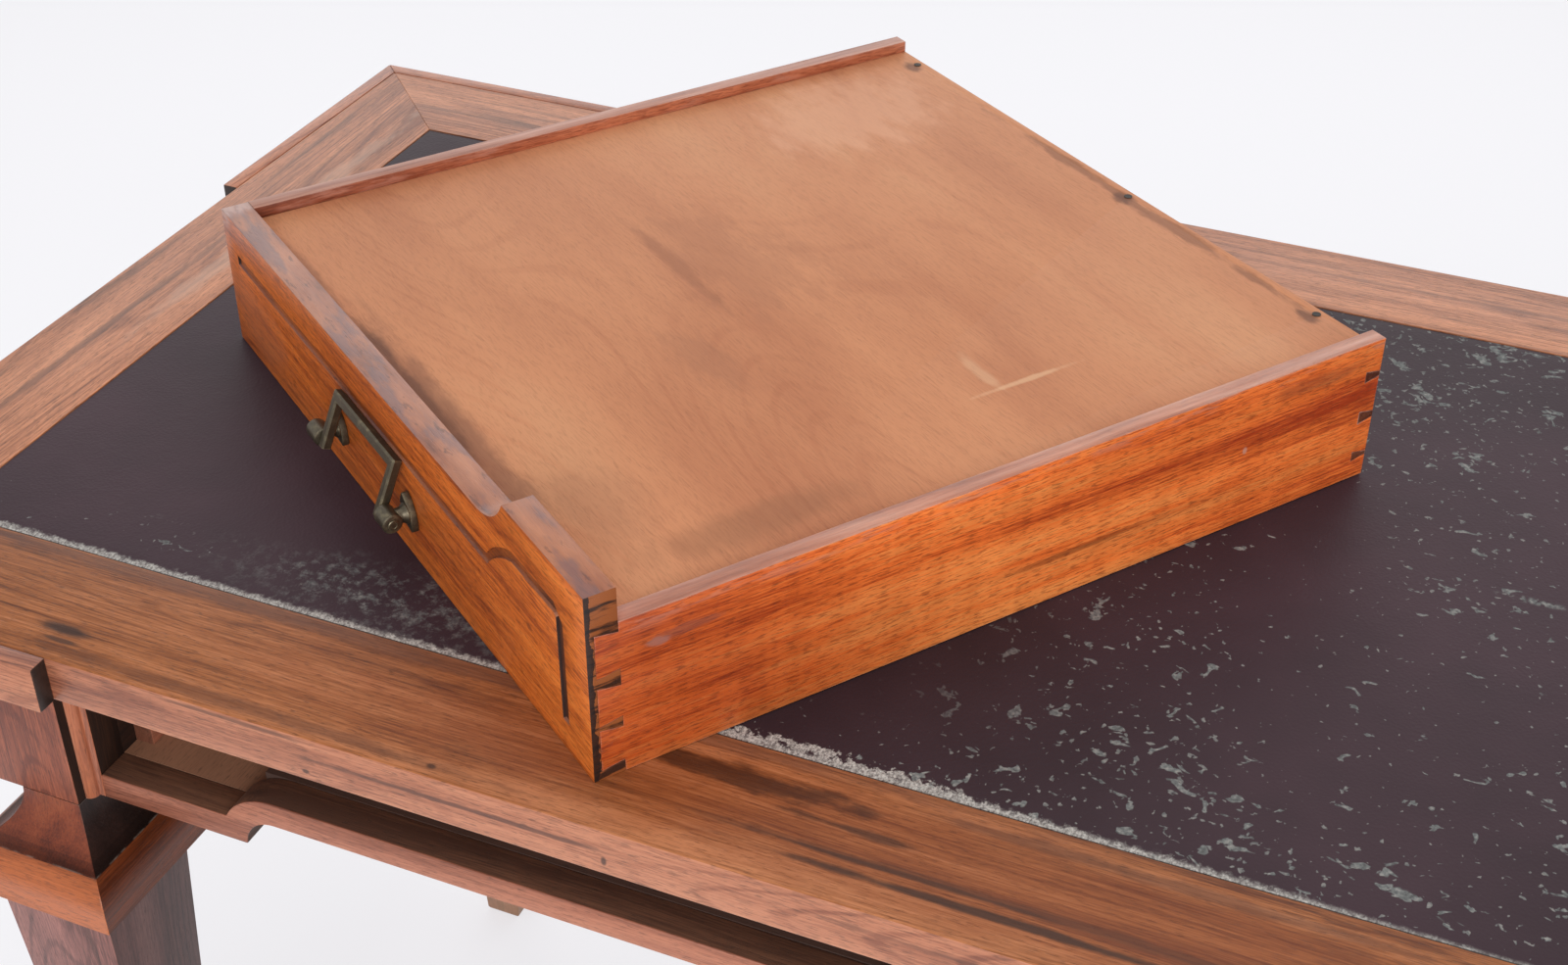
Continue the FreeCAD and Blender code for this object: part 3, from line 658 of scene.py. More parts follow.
DUST_WOOD = replace(FLOOR_WOOD, name="dust_wood", tones=((84, 58, 44), (70, 46, 36), (52, 34, 27)))
# Near-black wood for the drawer guides, the stiles' hidden faces and the front blocks' inward faces: painted shade.
PAINTED_SHADE_WOOD = Wood("painted_shade_wood", ((66, 40, 26), (48, 28, 19), (30, 18, 13)), vein_share=0.3, specular=0.2,
                  roughness=0.85, worn=(70, 48, 38), worn_share=0.2)

# Stains and streaks of the boards of the top, with a painted haze of reflection on the left border, at places of the
# row frame
TOP_BLOTS_AND_HAZE = {
    "border_front": blots(
        (0, 1), 752, 20,
        (-477, -336.5, 24, 6, 46, 32, 28, 0.9, 0.8),
        (-474, -345, 16, 3, 54, 36, 30, 0.75, 0.8),
        (30, -320, 500, 45, 132, 60, 22, 0.35, 1.0),
        (-100, -300, 90, 10, 52, 28, 18, 0.75, 2.2),
        (-30, -312.5, 50, 4, 46, 26, 18, 0.7, 1.6),
        (50, -340, 160, 3.5, 44, 26, 18, 0.85, 1.0),
        (0, -331, 100, 2, 52, 30, 20, 0.7, 1.2),
        (120, -288, 160, 5, 78, 48, 36, 0.5, 1.4),
        (-241.4, -352.8, 4, 2.5, 40, 24, 18, 0.8, 0.6),
        (-350, -352, 200, 6, 82, 44, 28, 0.55, 1.2),
        (100, -330, 300, 4, 70, 40, 26, 0.5, 1.4),
        (-300, -279, 400, 9, 92, 62, 52, 0.5, 1.2),
        (250, -355, 100, 20, 196, 146, 106, 0.3, 1.6),
        (360, -320, 200, 50, 196, 122, 70, 0.4, 1.0),
    ),
    "border_left": blots(
        (0, 1), 752, 20,
        (-655, -100, 4, 300, 96, 60, 44, 0.6, 1.0),
        # Pale strip on the far left border: painted haze of reflection.
        (-635, 100, 10, 240, 196, 160, 138, 0.4, 1.4),
    ),
    "border_back": blots(
        (0, 1), 752, 20,
        (-300, 318, 400, 4, 92, 54, 38, 0.7, 1.0),
        (300, 316, 400, 3, 110, 66, 46, 0.5, 1.2),
    ),
}
STRIP_BLOTS = blots(
    (0, 2), -360, 10,
    (-355, 749, 60, 2, 96, 60, 46, 0.7, 1.0),
    (-220, 738, 120, 2.2, 80, 48, 38, 0.75, 1.2),
    (-313, 729, 3, 2, 50, 30, 24, 0.8, 0.5),
    (-143, 732, 2, 4, 50, 30, 24, 0.8, 0.5),
    (100, 740, 200, 3, 108, 66, 50, 0.6, 1.4),
)
# Stains on the drawer bottom, side and front, with painted shade in the bottom's corners, in the drawer's own frame
BOTTOM_STAINS_AND_SHADE = blots(
    (0, 1), -90, 20,
    # Dark bands along the bottom's front corner: partly dirt, partly painted shade.
    (200, 26, 190, 16, 124, 80, 60, 0.65, 1.2),
    (250, 22, 120, 8, 92, 58, 44, 0.6, 1.2),
    (400, 20, 90, 7, 136, 90, 66, 0.55, 1.0),
    # Darker band beside the near side: painted shade in the corner.
    (45, 120, 20, 85, 134, 88, 62, 0.4, 1.0),
    # Stains and paler patches.
    (100, 60, 50, 30, 160, 108, 80, 0.3, 1.4),
    (300, 215, 85, 7, 150, 94, 66, 0.55, 1.4),
    (190, 175, 50, 20, 160, 104, 76, 0.4, 2.0),
    (280, 250, 90, 50, 166, 108, 78, 0.35, 2.2),
    (81, 315, 3, 45, 226, 180, 140, 0.6, 1.0),
    (100, 300, 30, 6, 222, 176, 138, 0.45, 1.4),
    (200, 503, 200, 6, 120, 72, 48, 0.6, 2.2),
    (50, 500, 12, 8, 84, 48, 34, 0.7, 1.6),
    (223, 500, 12, 8, 84, 48, 34, 0.7, 1.6),
    (460, 500, 12, 8, 84, 48, 34, 0.7, 1.6),
    (420, 420, 70, 90, 224, 166, 132, 0.5, 1.6),
)
SIDE_BLOTS = blots(
    (1, 2), 0, 10,
    (54, -75.5, 22, 4, 146, 92, 84, 0.5, 2.4),
    (37.5, -73.3, 8, 3, 200, 158, 146, 0.6, 2.4),
    (297, -28, 60, 2.5, 112, 44, 20, 0.5, 1.2),
    (412, -51.2, 2, 3, 226, 170, 150, 0.7, 0.8),
    (460, -80, 50, 6, 150, 70, 44, 0.5, 1.8),
)
FRONT_BLOTS = blots(
    (0, 2), 0, 10,
    (64.7, -53.7, 4, 3, 100, 50, 30, 0.6, 0.8),
    (450, -30, 60, 30, 176, 108, 78, 0.35, 1.6),
    (270, -8, 200, 4, 120, 56, 30, 0.4, 1.4),
)
FOOT_BLOTS = (Blot((0.0, 0.0, -0.29), (0.05, 0.05, 0.05), (168, 126, 80), 0.6, 1.0),)


@dataclass(frozen=True)
class Leather:
    """Old writing leather with scuffs, flakes and a frayed front edge.

    Attributes:
        low: Lowest corner of the leather in the row frame.
        high: Highest corner.
    """

    low: Vector
    high: Vector

    def dress(self, label: str) -> Material:
        """Make the leather's material.

        Args:
            label: Name of the sheet.

        Returns:
            The material.
        """
        f = Finish(f"leather.{label}")
        spot = f.coords()
        x, y, _ = f.split(spot)
        cloud = f.noise(spot, 3.5, 4.0, 0.6)
        f.colour = f.ramp(cloud, (0.3, 45, 32, 37), (0.5, 57, 41, 47), (0.7, 70, 50, 57))
        f.tint((0.66, 0.62, 0.66), f.step(x, -0.1, -0.45, 0.0, 0.5))
        region = f.noise(spot, 6.0, 2.0, 0.5)
        fleck = f.noise(spot, 210.0, 2.0, 0.5, 0.3)
        from_edge = f.less(y, self.low.y)
        worn = self.scuffs(f, spot, x, from_edge, cloud, region, fleck)
        grey = f.ramp(f.noise(spot, 420.0, 3.0, 0.6), (0.3, 84, 86, 84), (0.5, 122, 126, 124), (0.7, 166, 164, 158))
        f.stain(grey, worn, 0.82)
        pale = f.ramp(f.noise(spot, 600.0, 3.0, 0.6), (0.3, 150, 147, 140), (0.6, 218, 214, 206))
        f.stain(pale, self.fray(f, spot, x, from_edge, region), 0.85)
        f.stain((24, 18, 17), f.math("LESS_THAN", from_edge, 0.0011), 0.8)
        cells = f.node("TexVoronoi", {"Vector": spot, "Scale": 520.0, "Randomness": 1.0}).outputs["Distance"]
        height = f.less(f.total(f.both(cells, 0.5), f.noise(spot, 60.0, 4.0, 0.6)), f.both(worn, 0.8))
        return f.close(f.total(0.52, f.both(worn, 0.3)), height, 0.00022, Specular_IOR_Level=0.15)

    def scuffs(self, f: Finish, spot: Socket, x: Socket, from_edge: Value, cloud: Socket, region: Socket,
               fleck: Socket) -> Value:
        """Return the mask of flakes, scuffs and the bloom near the front edge.

        Args:
            f: The finish being made.
            spot: Object coordinates.
            x: Their first part.
            from_edge: Distance from the front edge.
            cloud: Slow noise.
            region: Noise that gathers the wear in regions.
            fleck: Fine noise.

        Returns:
            The mask.
        """
        level = f.total(f.both(region, 0.34), f.both(f.step(x, -0.3, 0.1), 0.07))
        stretched = f.vector("MULTIPLY", spot, (1.0, 1.3, 1.0))
        patches = f.step(f.total(f.noise(stretched, 75.0, 3.0, 0.55, 0.6), level), 0.875, 0.9)
        flecks = f.both(f.step(f.total(fleck, level), 0.9, 0.93), 0.8)
        calm = f.both(f.step(from_edge, 0.02, 0.05), f.step(x, 0.08, -0.08))
        worn = f.both(f.either(patches, flecks), f.less(1.0, calm))
        bloom_centre = (self.low.x + 0.27, self.low.y + 0.03, self.high.z)
        bloom = f.both(f.spot(spot, bloom_centre, (0.2, 0.045, 0.1), cloud, 2.2, 0.8),
                       f.step(f.noise(spot, 150.0, 4.0, 0.7), 0.46, 0.66), 0.7)
        scratch = f.both(f.spot(spot, (0.242, -0.0012, self.high.z), (0.024, 0.0035, 0.1), region, 2.2, 0.8),
                         f.step(fleck, 0.4, 0.55))
        return f.either(worn, bloom, scratch)

    def fray(self, f: Finish, spot: Socket, x: Socket, from_edge: Value, region: Socket) -> Value:
        """Return the mask of the frayed front edge.

        Args:
            f: The finish being made.
            spot: Object coordinates.
            x: Their first part.
            from_edge: Distance from the front edge.
            region: Noise that makes the outline of its wide places uneven.

        Returns:
            The mask.
        """
        wide = f.either(f.spot(spot, (-0.03, self.low.y, self.high.z), (0.1, 0.02, 0.1), region),
                        f.spot(spot, (-0.2, self.low.y, self.high.z), (0.03, 0.02, 0.1), region),
                        f.step(x, -0.57, -0.6))
        threads = f.step(f.noise(spot, 190.0, 4.0, 0.65), 0.35, 0.7)
        reach = f.total(0.0026, f.both(threads, f.total(0.003, f.both(wide, 0.013))))
        reach = f.both(reach, f.step(x, 0.1, 0.26, 1.0, 0.25))
        stretched = f.vector("MULTIPLY", spot, (1.0, 0.6, 1.0))
        hairs = f.step(f.noise(stretched, 900.0, 4.0, 0.7), 0.36, 0.6, 0.3, 1.0)
        return f.both(f.step(f.less(from_edge, reach), 0.003, -0.0015), hairs)


@dataclass(frozen=True)
class Metal:
    """Patinated metal.

    Attributes:
        name: What the finish is called.
        dark: Colour in the hollows.
        bright: Colour where it is rubbed.
        metallic: The shader's metallic value.
        roughness: The shader's roughness.
    """

    name: str
    dark: Chart
    bright: Chart
    metallic: float
    roughness: float

    def dress(self, label: str) -> Material:
        """Make the metal's material.

        Args:
            label: Name of the piece.

        Returns:
            The material.
        """
        f = Finish(f"{self.name}.{label}")
        spot = f.coords()
        cloud = f.noise(spot, 140.0, 4.0, 0.6)
        rubbed = f.total(f.both(f.edge_mask(0.0012), 0.6), f.step(cloud, 0.5, 0.75, 0.0, 0.45))
        f.colour = paint(*self.dark)
        f.stain(self.bright, f.math("MINIMUM", rubbed, 1.0))
        rough = f.total(self.roughness - 0.08, f.both(cloud, 0.2))
        return f.close(rough, f.noise(spot, 900.0, 3.0, 0.6), 0.00008, Metallic=self.metallic)


BRONZE = Metal("bronze", (84, 76, 62), (150, 138, 108), metallic=0.75, roughness=0.36)
IRON = Metal("iron", (34, 30, 27), (84, 66, 52), metallic=0.4, roughness=0.6)


@dataclass
class Piece:
    """A piece on the bench, worked on with everything else deselected.

    Attributes:
        thing: Its object.
    """

    thing: bpy.types.Object

    @staticmethod
    def clear() -> None:
        """Leave edit mode and deselect every object."""
        if bpy.context.object and bpy.context.object.mode != "OBJECT":
            bpy.ops.object.mode_set(mode="OBJECT")
        bpy.ops.object.select_all(action="DESELECT")

    @classmethod
    def added(cls, name: str) -> Piece:
        """Take the object that was just added, with its place applied to its mesh.

        Args:
            name: The piece's name.

        Returns:
            The piece, with its object at the origin.
        """
        piece = cls(bpy.context.object)
        piece.call(name)
        piece.hold()
        bpy.ops.object.transform_apply(location=True, rotation=True, scale=True)
        return piece

    @classmethod
    def block(cls, name: str, low: Sequence[float], high: Sequence[float]) -> Piece:
        """Add a block between two corners.

        Args:
            name: The piece's name.
            low: Lowest corner.
            high: Highest corner.

        Returns:
            The block.
        """
        cls.clear()
        low, high = Vector(low), Vector(high)
        bpy.ops.mesh.primitive_cube_add(size=1.0, location=(low + high) / 2, scale=high - low)
        return cls.added(name)

    @classmethod
    def raised(cls, name: str, loops: Sequence[Pair], centre: Pair = (0.0, 0.0), sides: int = 4) -> Piece:
        """Raise a piece along +Z, one loop after another: square with four sides, else round.

        Args:
            name: The piece's name.
            loops: Half width or radius, and height, of each loop in order.
            centre: Its axis in plan.
            sides: Number of sides.

        Returns:
            The closed piece.
        """
        cls.clear()
        half, height = loops[0]
        if sides == 4:
            bpy.ops.mesh.primitive_plane_add(size=2 * half, location=(*centre, height))
        else:
            bpy.ops.mesh.primitive_circle_add(vertices=sides, radius=half, fill_type="NGON",
                                              location=(*centre, height))
        piece = cls.added(name)
        with piece.editing("FACE", "SELECT"):
            for new_half, new_height in loops[1:]:
                bpy.ops.mesh.extrude_region_move(TRANSFORM_OT_translate={"value": (0.0, 0.0, new_height - height)})
                share = new_half / half
                bpy.ops.transform.resize(value=(share, share, 1.0), center_override=(*centre, new_height))
                half, height = new_half, new_height
            bpy.ops.mesh.select_all(action="SELECT")
            bpy.ops.mesh.normals_make_consistent(inside=False)
        return piece

    @classmethod
    def eased_node(cls, node: str, name: str, width: float) -> Piece:
        """Copy a node's shape, merge it into whole faces and round its arrises.

        Args:
            node: The node.
            name: The new piece's name.
            width: Width of the rounding in metres.

        Returns:
            The new piece.
        """
        piece = cls(bpy.data.objects.new(name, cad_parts[node].data.copy()))
        piece.call(name)
        piece.thing.data.materials.clear()
        bpy.context.scene.collection.objects.link(piece.thing)
        with piece.editing("VERT", "SELECT"):
            bpy.ops.mesh.remove_doubles(threshold=2e-5)
            bpy.ops.mesh.dissolve_limited(angle_limit=math.radians(1.0))
        piece.ease(width)
        return piece

    @classmethod
    def joined(cls, name: str, pieces: Sequence[Piece]) -> Piece:
        """Join pieces into one.

        Args:
            name: The new piece's name.
            pieces: The pieces.

        Returns:
            The piece that they have become.
        """
        cls.clear()
        for piece in pieces:
            piece.thing.select_set(True)
        bpy.context.view_layer.objects.active = pieces[0].thing
        bpy.ops.object.join()
        pieces[0].call(name)
        return pieces[0]

    def call(self, name: str) -> None:
        """Name the object and its mesh."""
        self.thing.name = self.thing.data.name = name

    def hold(self) -> None:
        """Make the piece the only selected and the active object."""
        self.clear()
        self.thing.select_set(True)
        bpy.context.view_layer.objects.active = self.thing

    @contextmanager
    def editing(self, mode: str, selection: str = "DESELECT") -> Iterator[None]:
        """Enter edit mode, and leave it again.

        Args:
            mode: Selection mode.
            selection: SELECT to start with everything selected, DESELECT with nothing.

        Yields:
            Nothing.
        """
        self.hold()
        bpy.ops.object.mode_set(mode="EDIT")
        bpy.ops.mesh.select_mode(type=mode)
        bpy.ops.mesh.select_all(action=selection)
        yield
        bpy.ops.object.mode_set(mode="OBJECT")

    def pick_edges(self, test: Test) -> None:
        """Select the edges whose two ends pass a test, in edit mode.

        Args:
            test: The test.
        """
        mesh = bmesh.from_edit_mesh(self.thing.data)
        for edge in mesh.edges:
            if test(edge.verts[0].co, edge.verts[1].co):
                edge.select_set(True)
        bmesh.update_edit_mesh(self.thing.data)

    def saw(self, point: Sequence[float], normal: Sequence[float]) -> None:
        """Saw through a plane and take away the side that the normal points to."""
        with self.editing("FACE", "SELECT"):
            bpy.ops.mesh.bisect(plane_co=point, plane_no=normal, use_fill=True, clear_outer=True)

    def mitre(self, first: Vector, second: Vector) -> None:
        """Saw upright through two points and keep the side with the piece's middle.

        Args:
            first: One point of the cut.
            second: The other.
        """
        ends = [vertex.co for vertex in self.thing.data.vertices]
        inward = sum(ends, Vector()) / len(ends) - first
        cut = (second - first).normalized()
        normal = Vector((cut.y, -cut.x, 0.0))
        self.saw(first, -normal if normal.dot(inward) > 0 else normal)

    def ease(self, width: float, segments: int = 2, test: Test | None = None) -> None:
        """Round the arrises.

        Args:
            width: Width of the rounding in metres.
            segments: Number of facets.
            test: Which edges by their two ends. Every sharp edge if left out.
        """
        with self.editing("EDGE"):
            if test is None:
                bpy.ops.mesh.edges_select_sharp(sharpness=math.radians(28))
            else:
                self.pick_edges(test)
            bpy.ops.mesh.bevel(offset=width, segments=segments, affect="EDGES", clamp_overlap=True)

    def move(self, matrix: Matrix) -> Piece:
        """Move the mesh by a matrix and keep its faces outwards.

        Args:
            matrix: The matrix.

        Returns:
            The piece itself.
        """
        self.thing.data.transform(matrix)
        if matrix.determinant() < 0:
            self.thing.data.flip_normals()
        self.thing.data.update()
        return self

    def carve(self, cutter: Piece) -> None:
        """Cut another piece out of this one and throw it away.

        Args:
            cutter: The other piece.
        """
        self.hold()
        tool = self.thing.modifiers.new("carve", "BOOLEAN")
        tool.object = cutter.thing
        tool.operation = "DIFFERENCE"
        tool.solver = "EXACT"
        bpy.ops.object.modifier_apply(modifier=tool.name)
        bpy.data.objects.remove(cutter.thing)

    def deliver(self, node: str, body: str, slot: str, material: Material | None, smooth: float = 32.0) -> None:
        """Let the finished piece stand for a node and ride on its body.

        Args:
            node: The node.
            body: Body it rides on.
            slot: Name of the material slot; not used.
            material: Its material, or None to keep those it has.
            smooth: Largest angle in degrees that is shaded smooth.
        """
        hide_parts(node)
        if material is not None:
            self.thing.data.materials.clear()
            self.thing.data.materials.append(material)
        self.hold()
        bpy.ops.object.shade_smooth_by_angle(angle=math.radians(smooth))
        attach(self.thing, body)
        LOG.info("%s rides on %s", self.thing.name, body)

    def also(self, material: Material, test: Test) -> None:
        """Give another material to the faces whose middle and normal pass a test.

        Args:
            material: The material.
            test: The test.
        """
        mesh = self.thing.data
        mesh.materials.append(material)
        for face in mesh.polygons:
            if test(face.center, face.normal):
                face.material_index = len(mesh.materials) - 1


@dataclass
class Studio:
    """Camera, floor and lights.

    Attributes:
        lens: Focal length for a sensor 36 mm wide.
        offset: Camera's place from the top's front left corner, in metres.
        yaw: Turn of the camera in plan, in radians.
        pitch: How far it looks down, in radians.
        roll: How far it is tipped, in radians.
        target: Point that the soft boxes look at.
    """

    lens: float = 2201.53 * 36 / 1600
    offset: Triple = (0.92094, -0.65655, 0.73)
    yaw: float = -0.40040
    pitch: float = 0.61171
    roll: float = 0.00185
    target: Triple = (0.0, 0.0, 0.7)

    def aim(self) -> None:
        """Place the camera at the photograph's viewpoint."""
        low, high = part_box("border_front")
        forward = Vector((math.sin(self.yaw) * math.cos(self.pitch), math.cos(self.yaw) * math.cos(self.pitch),
                          -math.sin(self.pitch)))
        level = Vector((math.cos(self.yaw), -math.sin(self.yaw), 0.0))
        lift = level.cross(forward)
        right = math.cos(self.roll) * level + math.sin(self.roll) * lift
        upward = -math.sin(self.roll) * level + math.cos(self.roll) * lift
        data = bpy.data.cameras.new("camera")
        data.lens = self.lens
        data.sensor_width = 36.0
        data.sensor_fit = "HORIZONTAL"
        data.clip_start = 0.02
        data.clip_end = 60.0
        camera = bpy.data.objects.new("camera", data)
        bpy.context.scene.collection.objects.link(camera)
        turn = Matrix((right, upward, -forward)).transposed().to_4x4()
        corner = corner_of(low, high, True, True)
        camera.matrix_world = Matrix.Translation(corner + Vector(self.offset)) @ turn
        bpy.context.scene.camera = camera

    def light(self) -> None:
        """Light the desk with a pale surround, paler where it is seen, and soft boxes."""
        world = bpy.data.worlds.new("studio")
        world.use_nodes = True
        w = Nodes(world.node_tree)
        strength = w.step(w.seen(), 0.0, 1.0, 0.42, 0.93, "LINEAR")
        surround = w.node("Background", {"Color": (0.97, 0.98, 1.0), "Strength": strength})
        w.node("OutputWorld", {"Surface": surround.outputs[0]})
        bpy.context.scene.world = world
        self.soft_box("key", (0.9, -3.0, 1.8), (1.8, 1.8), 66.0)
        self.soft_box("over", (0.2, 0.1, 3.2), (2.4, 2.4), 24.0)
        self.soft_box("panel", (-1.1, 2.7, 2.0), (4.4, 1.5), 30.0)

    def soft_box(self, name: str, place: Triple, size: Pair, power: float) -> None:
        """Add one soft box that looks at the top of the desk.

        Args:
            name: The lamp's name.
            place: Where it stands.
            size: Its width and height.
            power: Its power in watts.
        """
        data = bpy.data.lights.new(name, "AREA")
        data.shape = "RECTANGLE"
        data.size, data.size_y = size
        data.energy = power
        lamp = bpy.data.objects.new(name, data)
        lamp.location = place
        lamp.rotation_euler = (Vector(self.target) - Vector(place)).to_track_quat("-Z", "Y").to_euler()
        bpy.context.scene.collection.objects.link(lamp)

    def floor(self) -> None:
        """Lay a plain pale floor."""
        Piece.clear()
        bpy.ops.mesh.primitive_plane_add(size=30.0)
        floor = bpy.context.object
        floor.name = "studio_floor"
        f = Finish("floor")
        lit = f.node("BsdfDiffuse", {"Color": paint(236, 236, 240)})
        glow = f.node("Emission", {"Color": (0.985, 0.975, 1.0), "Strength": 1.14})
        shade = f.node("MixShader", {0: f.both(f.seen(), 0.55), 1: lit.outputs[0], 2: glow.outputs[0]})
        f.node("OutputMaterial", {"Surface": shade.outputs[0]})
        floor.data.materials.append(f.material)


@dataclass
class Top:
    """The desk top: mitred borders, projecting corners, ground panel and leather.

    Attributes:
        arris: Rounding of the outer arrises.
        seam: Rounding at the joints.
        clearance: Gap between the leather and the borders.
        body: Body that it rides on.
        boards: Each border's offset into the log.
    """

    arris: float = 1.6 * MM
    seam: float = 0.25 * MM
    clearance: float = 0.6 * MM
    body: str = "desk"
    boards: dict[str, Triple] = field(default_factory=lambda: {
        "border_front": (0.0, 0.13, 0.01), "border_back": (1.7, 0.31, 0.02),
        "border_left": (3.1, 0.52, 0.0), "border_right": (4.3, 0.7, 0.01)})

    def build(self) -> None:
        """Build every piece of the top."""
        for name in self.boards:
            self.border(name)
        for name in CORNERS:
            self.corner("corner_strips_" + name)
        self.ground()
        self.leather()

    def border(self, name: str) -> None:
        """Build one mitred border board from a block and two saw cuts.

        Args:
            name: The node's name.
        """
        low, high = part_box(name)
        board = Piece.block(name + "_board", low, high)
        axis = 1 if name in ("border_front", "border_back") else 0
        at_low = name in ("border_front", "border_left")
        for first in (True, False):
            sides = (first, at_low) if axis else (at_low, first)
            board.mitre(corner_of(low, high, *sides), corner_of(*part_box("leather_panel"), *sides))
        outer = low[axis] if at_low else high[axis]
        board.ease(self.arris, 3, lambda a, b: max(abs(a[axis] - outer), abs(b[axis] - outer), abs(a.z - b.z)) < NEAR)
        board.ease(self.seam, 1)
        frame = BoardFrame(grain=Along.X if axis else Along.Y, shift=self.boards[name])
        front = name == "border_front"
        # The front border has plain rosewood; the side and back borders get the copy with painted haze.
        wood = ROSEWOOD if front else ROSEWOOD_PAINTED_HAZE
        board.deliver(name, self.body, "top_veneer", wood.dress(name, frame, TOP_BLOTS_AND_HAZE.get(name, ())))
        board.also(EDGE_ROSEWOOD.dress(name, frame, STRIP_BLOTS if front else ()), lambda centre, normal: (
            abs(normal.z) < 0.6 and abs(normal[axis]) > 0.7 and abs(centre[axis] - outer) < 3 * MM))

    def corner(self, name: str) -> None:
        """Build the two mitred strips of one projecting corner.

        Args:
            name: The node's name.
        """
        low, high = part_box(name)
        left, rear = "left" in name, "rear" in name
        edge = corner_of(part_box("border_front")[0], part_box("border_back")[1], left, not rear)
        strips = []
        for axis, grain, beyond in ((1, Along.X, rear), (0, Along.Y, not left)):
            start, end = low.copy(), high.copy()
            (start if beyond else end)[axis] = edge[axis]
            strip = Piece.block(f"{name}_{grain.name.lower()}", start, end)
            strip.mitre(edge, corner_of(low, high, left, not rear))
            strip.ease(0.9 * MM)
            frame = BoardFrame(origin=middle(name), grain=grain, shift=(low.x * 7, low.y * 5, 0.01))
            strip.thing.data.materials.append(EDGE_ROSEWOOD.dress(strip.thing.name, frame))
            strips.append(strip)
        Piece.joined(name + "_pair", strips).deliver(name, self.body, "top_veneer", None)

    def ground(self) -> None:
        """Build the ground panel under the leather."""
        frame = BoardFrame(origin=middle("ground_panel"), shift=(0.4, 0.2, 0.0))
        panel = Piece.eased_node("ground_panel", "ground_board", 0.4 * MM)
        panel.deliver("ground_panel", self.body, "inner_wood", CASE_WOOD.dress("ground", frame))

    def leather(self) -> None:
        """Lay the leather, with a finely divided top and a lower rim."""
        low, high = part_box("leather_panel")
        gap = Vector((self.clearance, self.clearance, 0.0))
        start, end = low + gap, high - gap
        sheet = Piece.block("leather_skin", start, end)
        with sheet.editing("FACE"):
            mesh = bmesh.from_edit_mesh(sheet.thing.data)
            for face in mesh.faces:
                if face.normal.z > 0.9:
                    face.select_set(True)
            bmesh.update_edit_mesh(sheet.thing.data)
            bpy.ops.mesh.inset(thickness=3 * MM)
            bpy.ops.mesh.subdivide(number_cuts=60)
        top = max(v.co.z for v in sheet.thing.data.vertices)
        for vertex in sheet.thing.data.vertices:
            co = vertex.co
            wave = math.sin(co.x * 23 + math.sin(co.y * 31)) * math.sin(co.y * 27 + co.x * 5)
            on_rim = min(co.x - start.x, end.x - co.x, co.y - start.y, end.y - co.y) < NEAR
            if abs(co.z - top) < 1e-6:
                co.z += -0.35 * MM if on_rim else 0.06 * MM * wave
        sheet.thing.data.update()
        sheet.deliver("leather_panel", self.body, "leather", Leather(low, high).dress("top"))


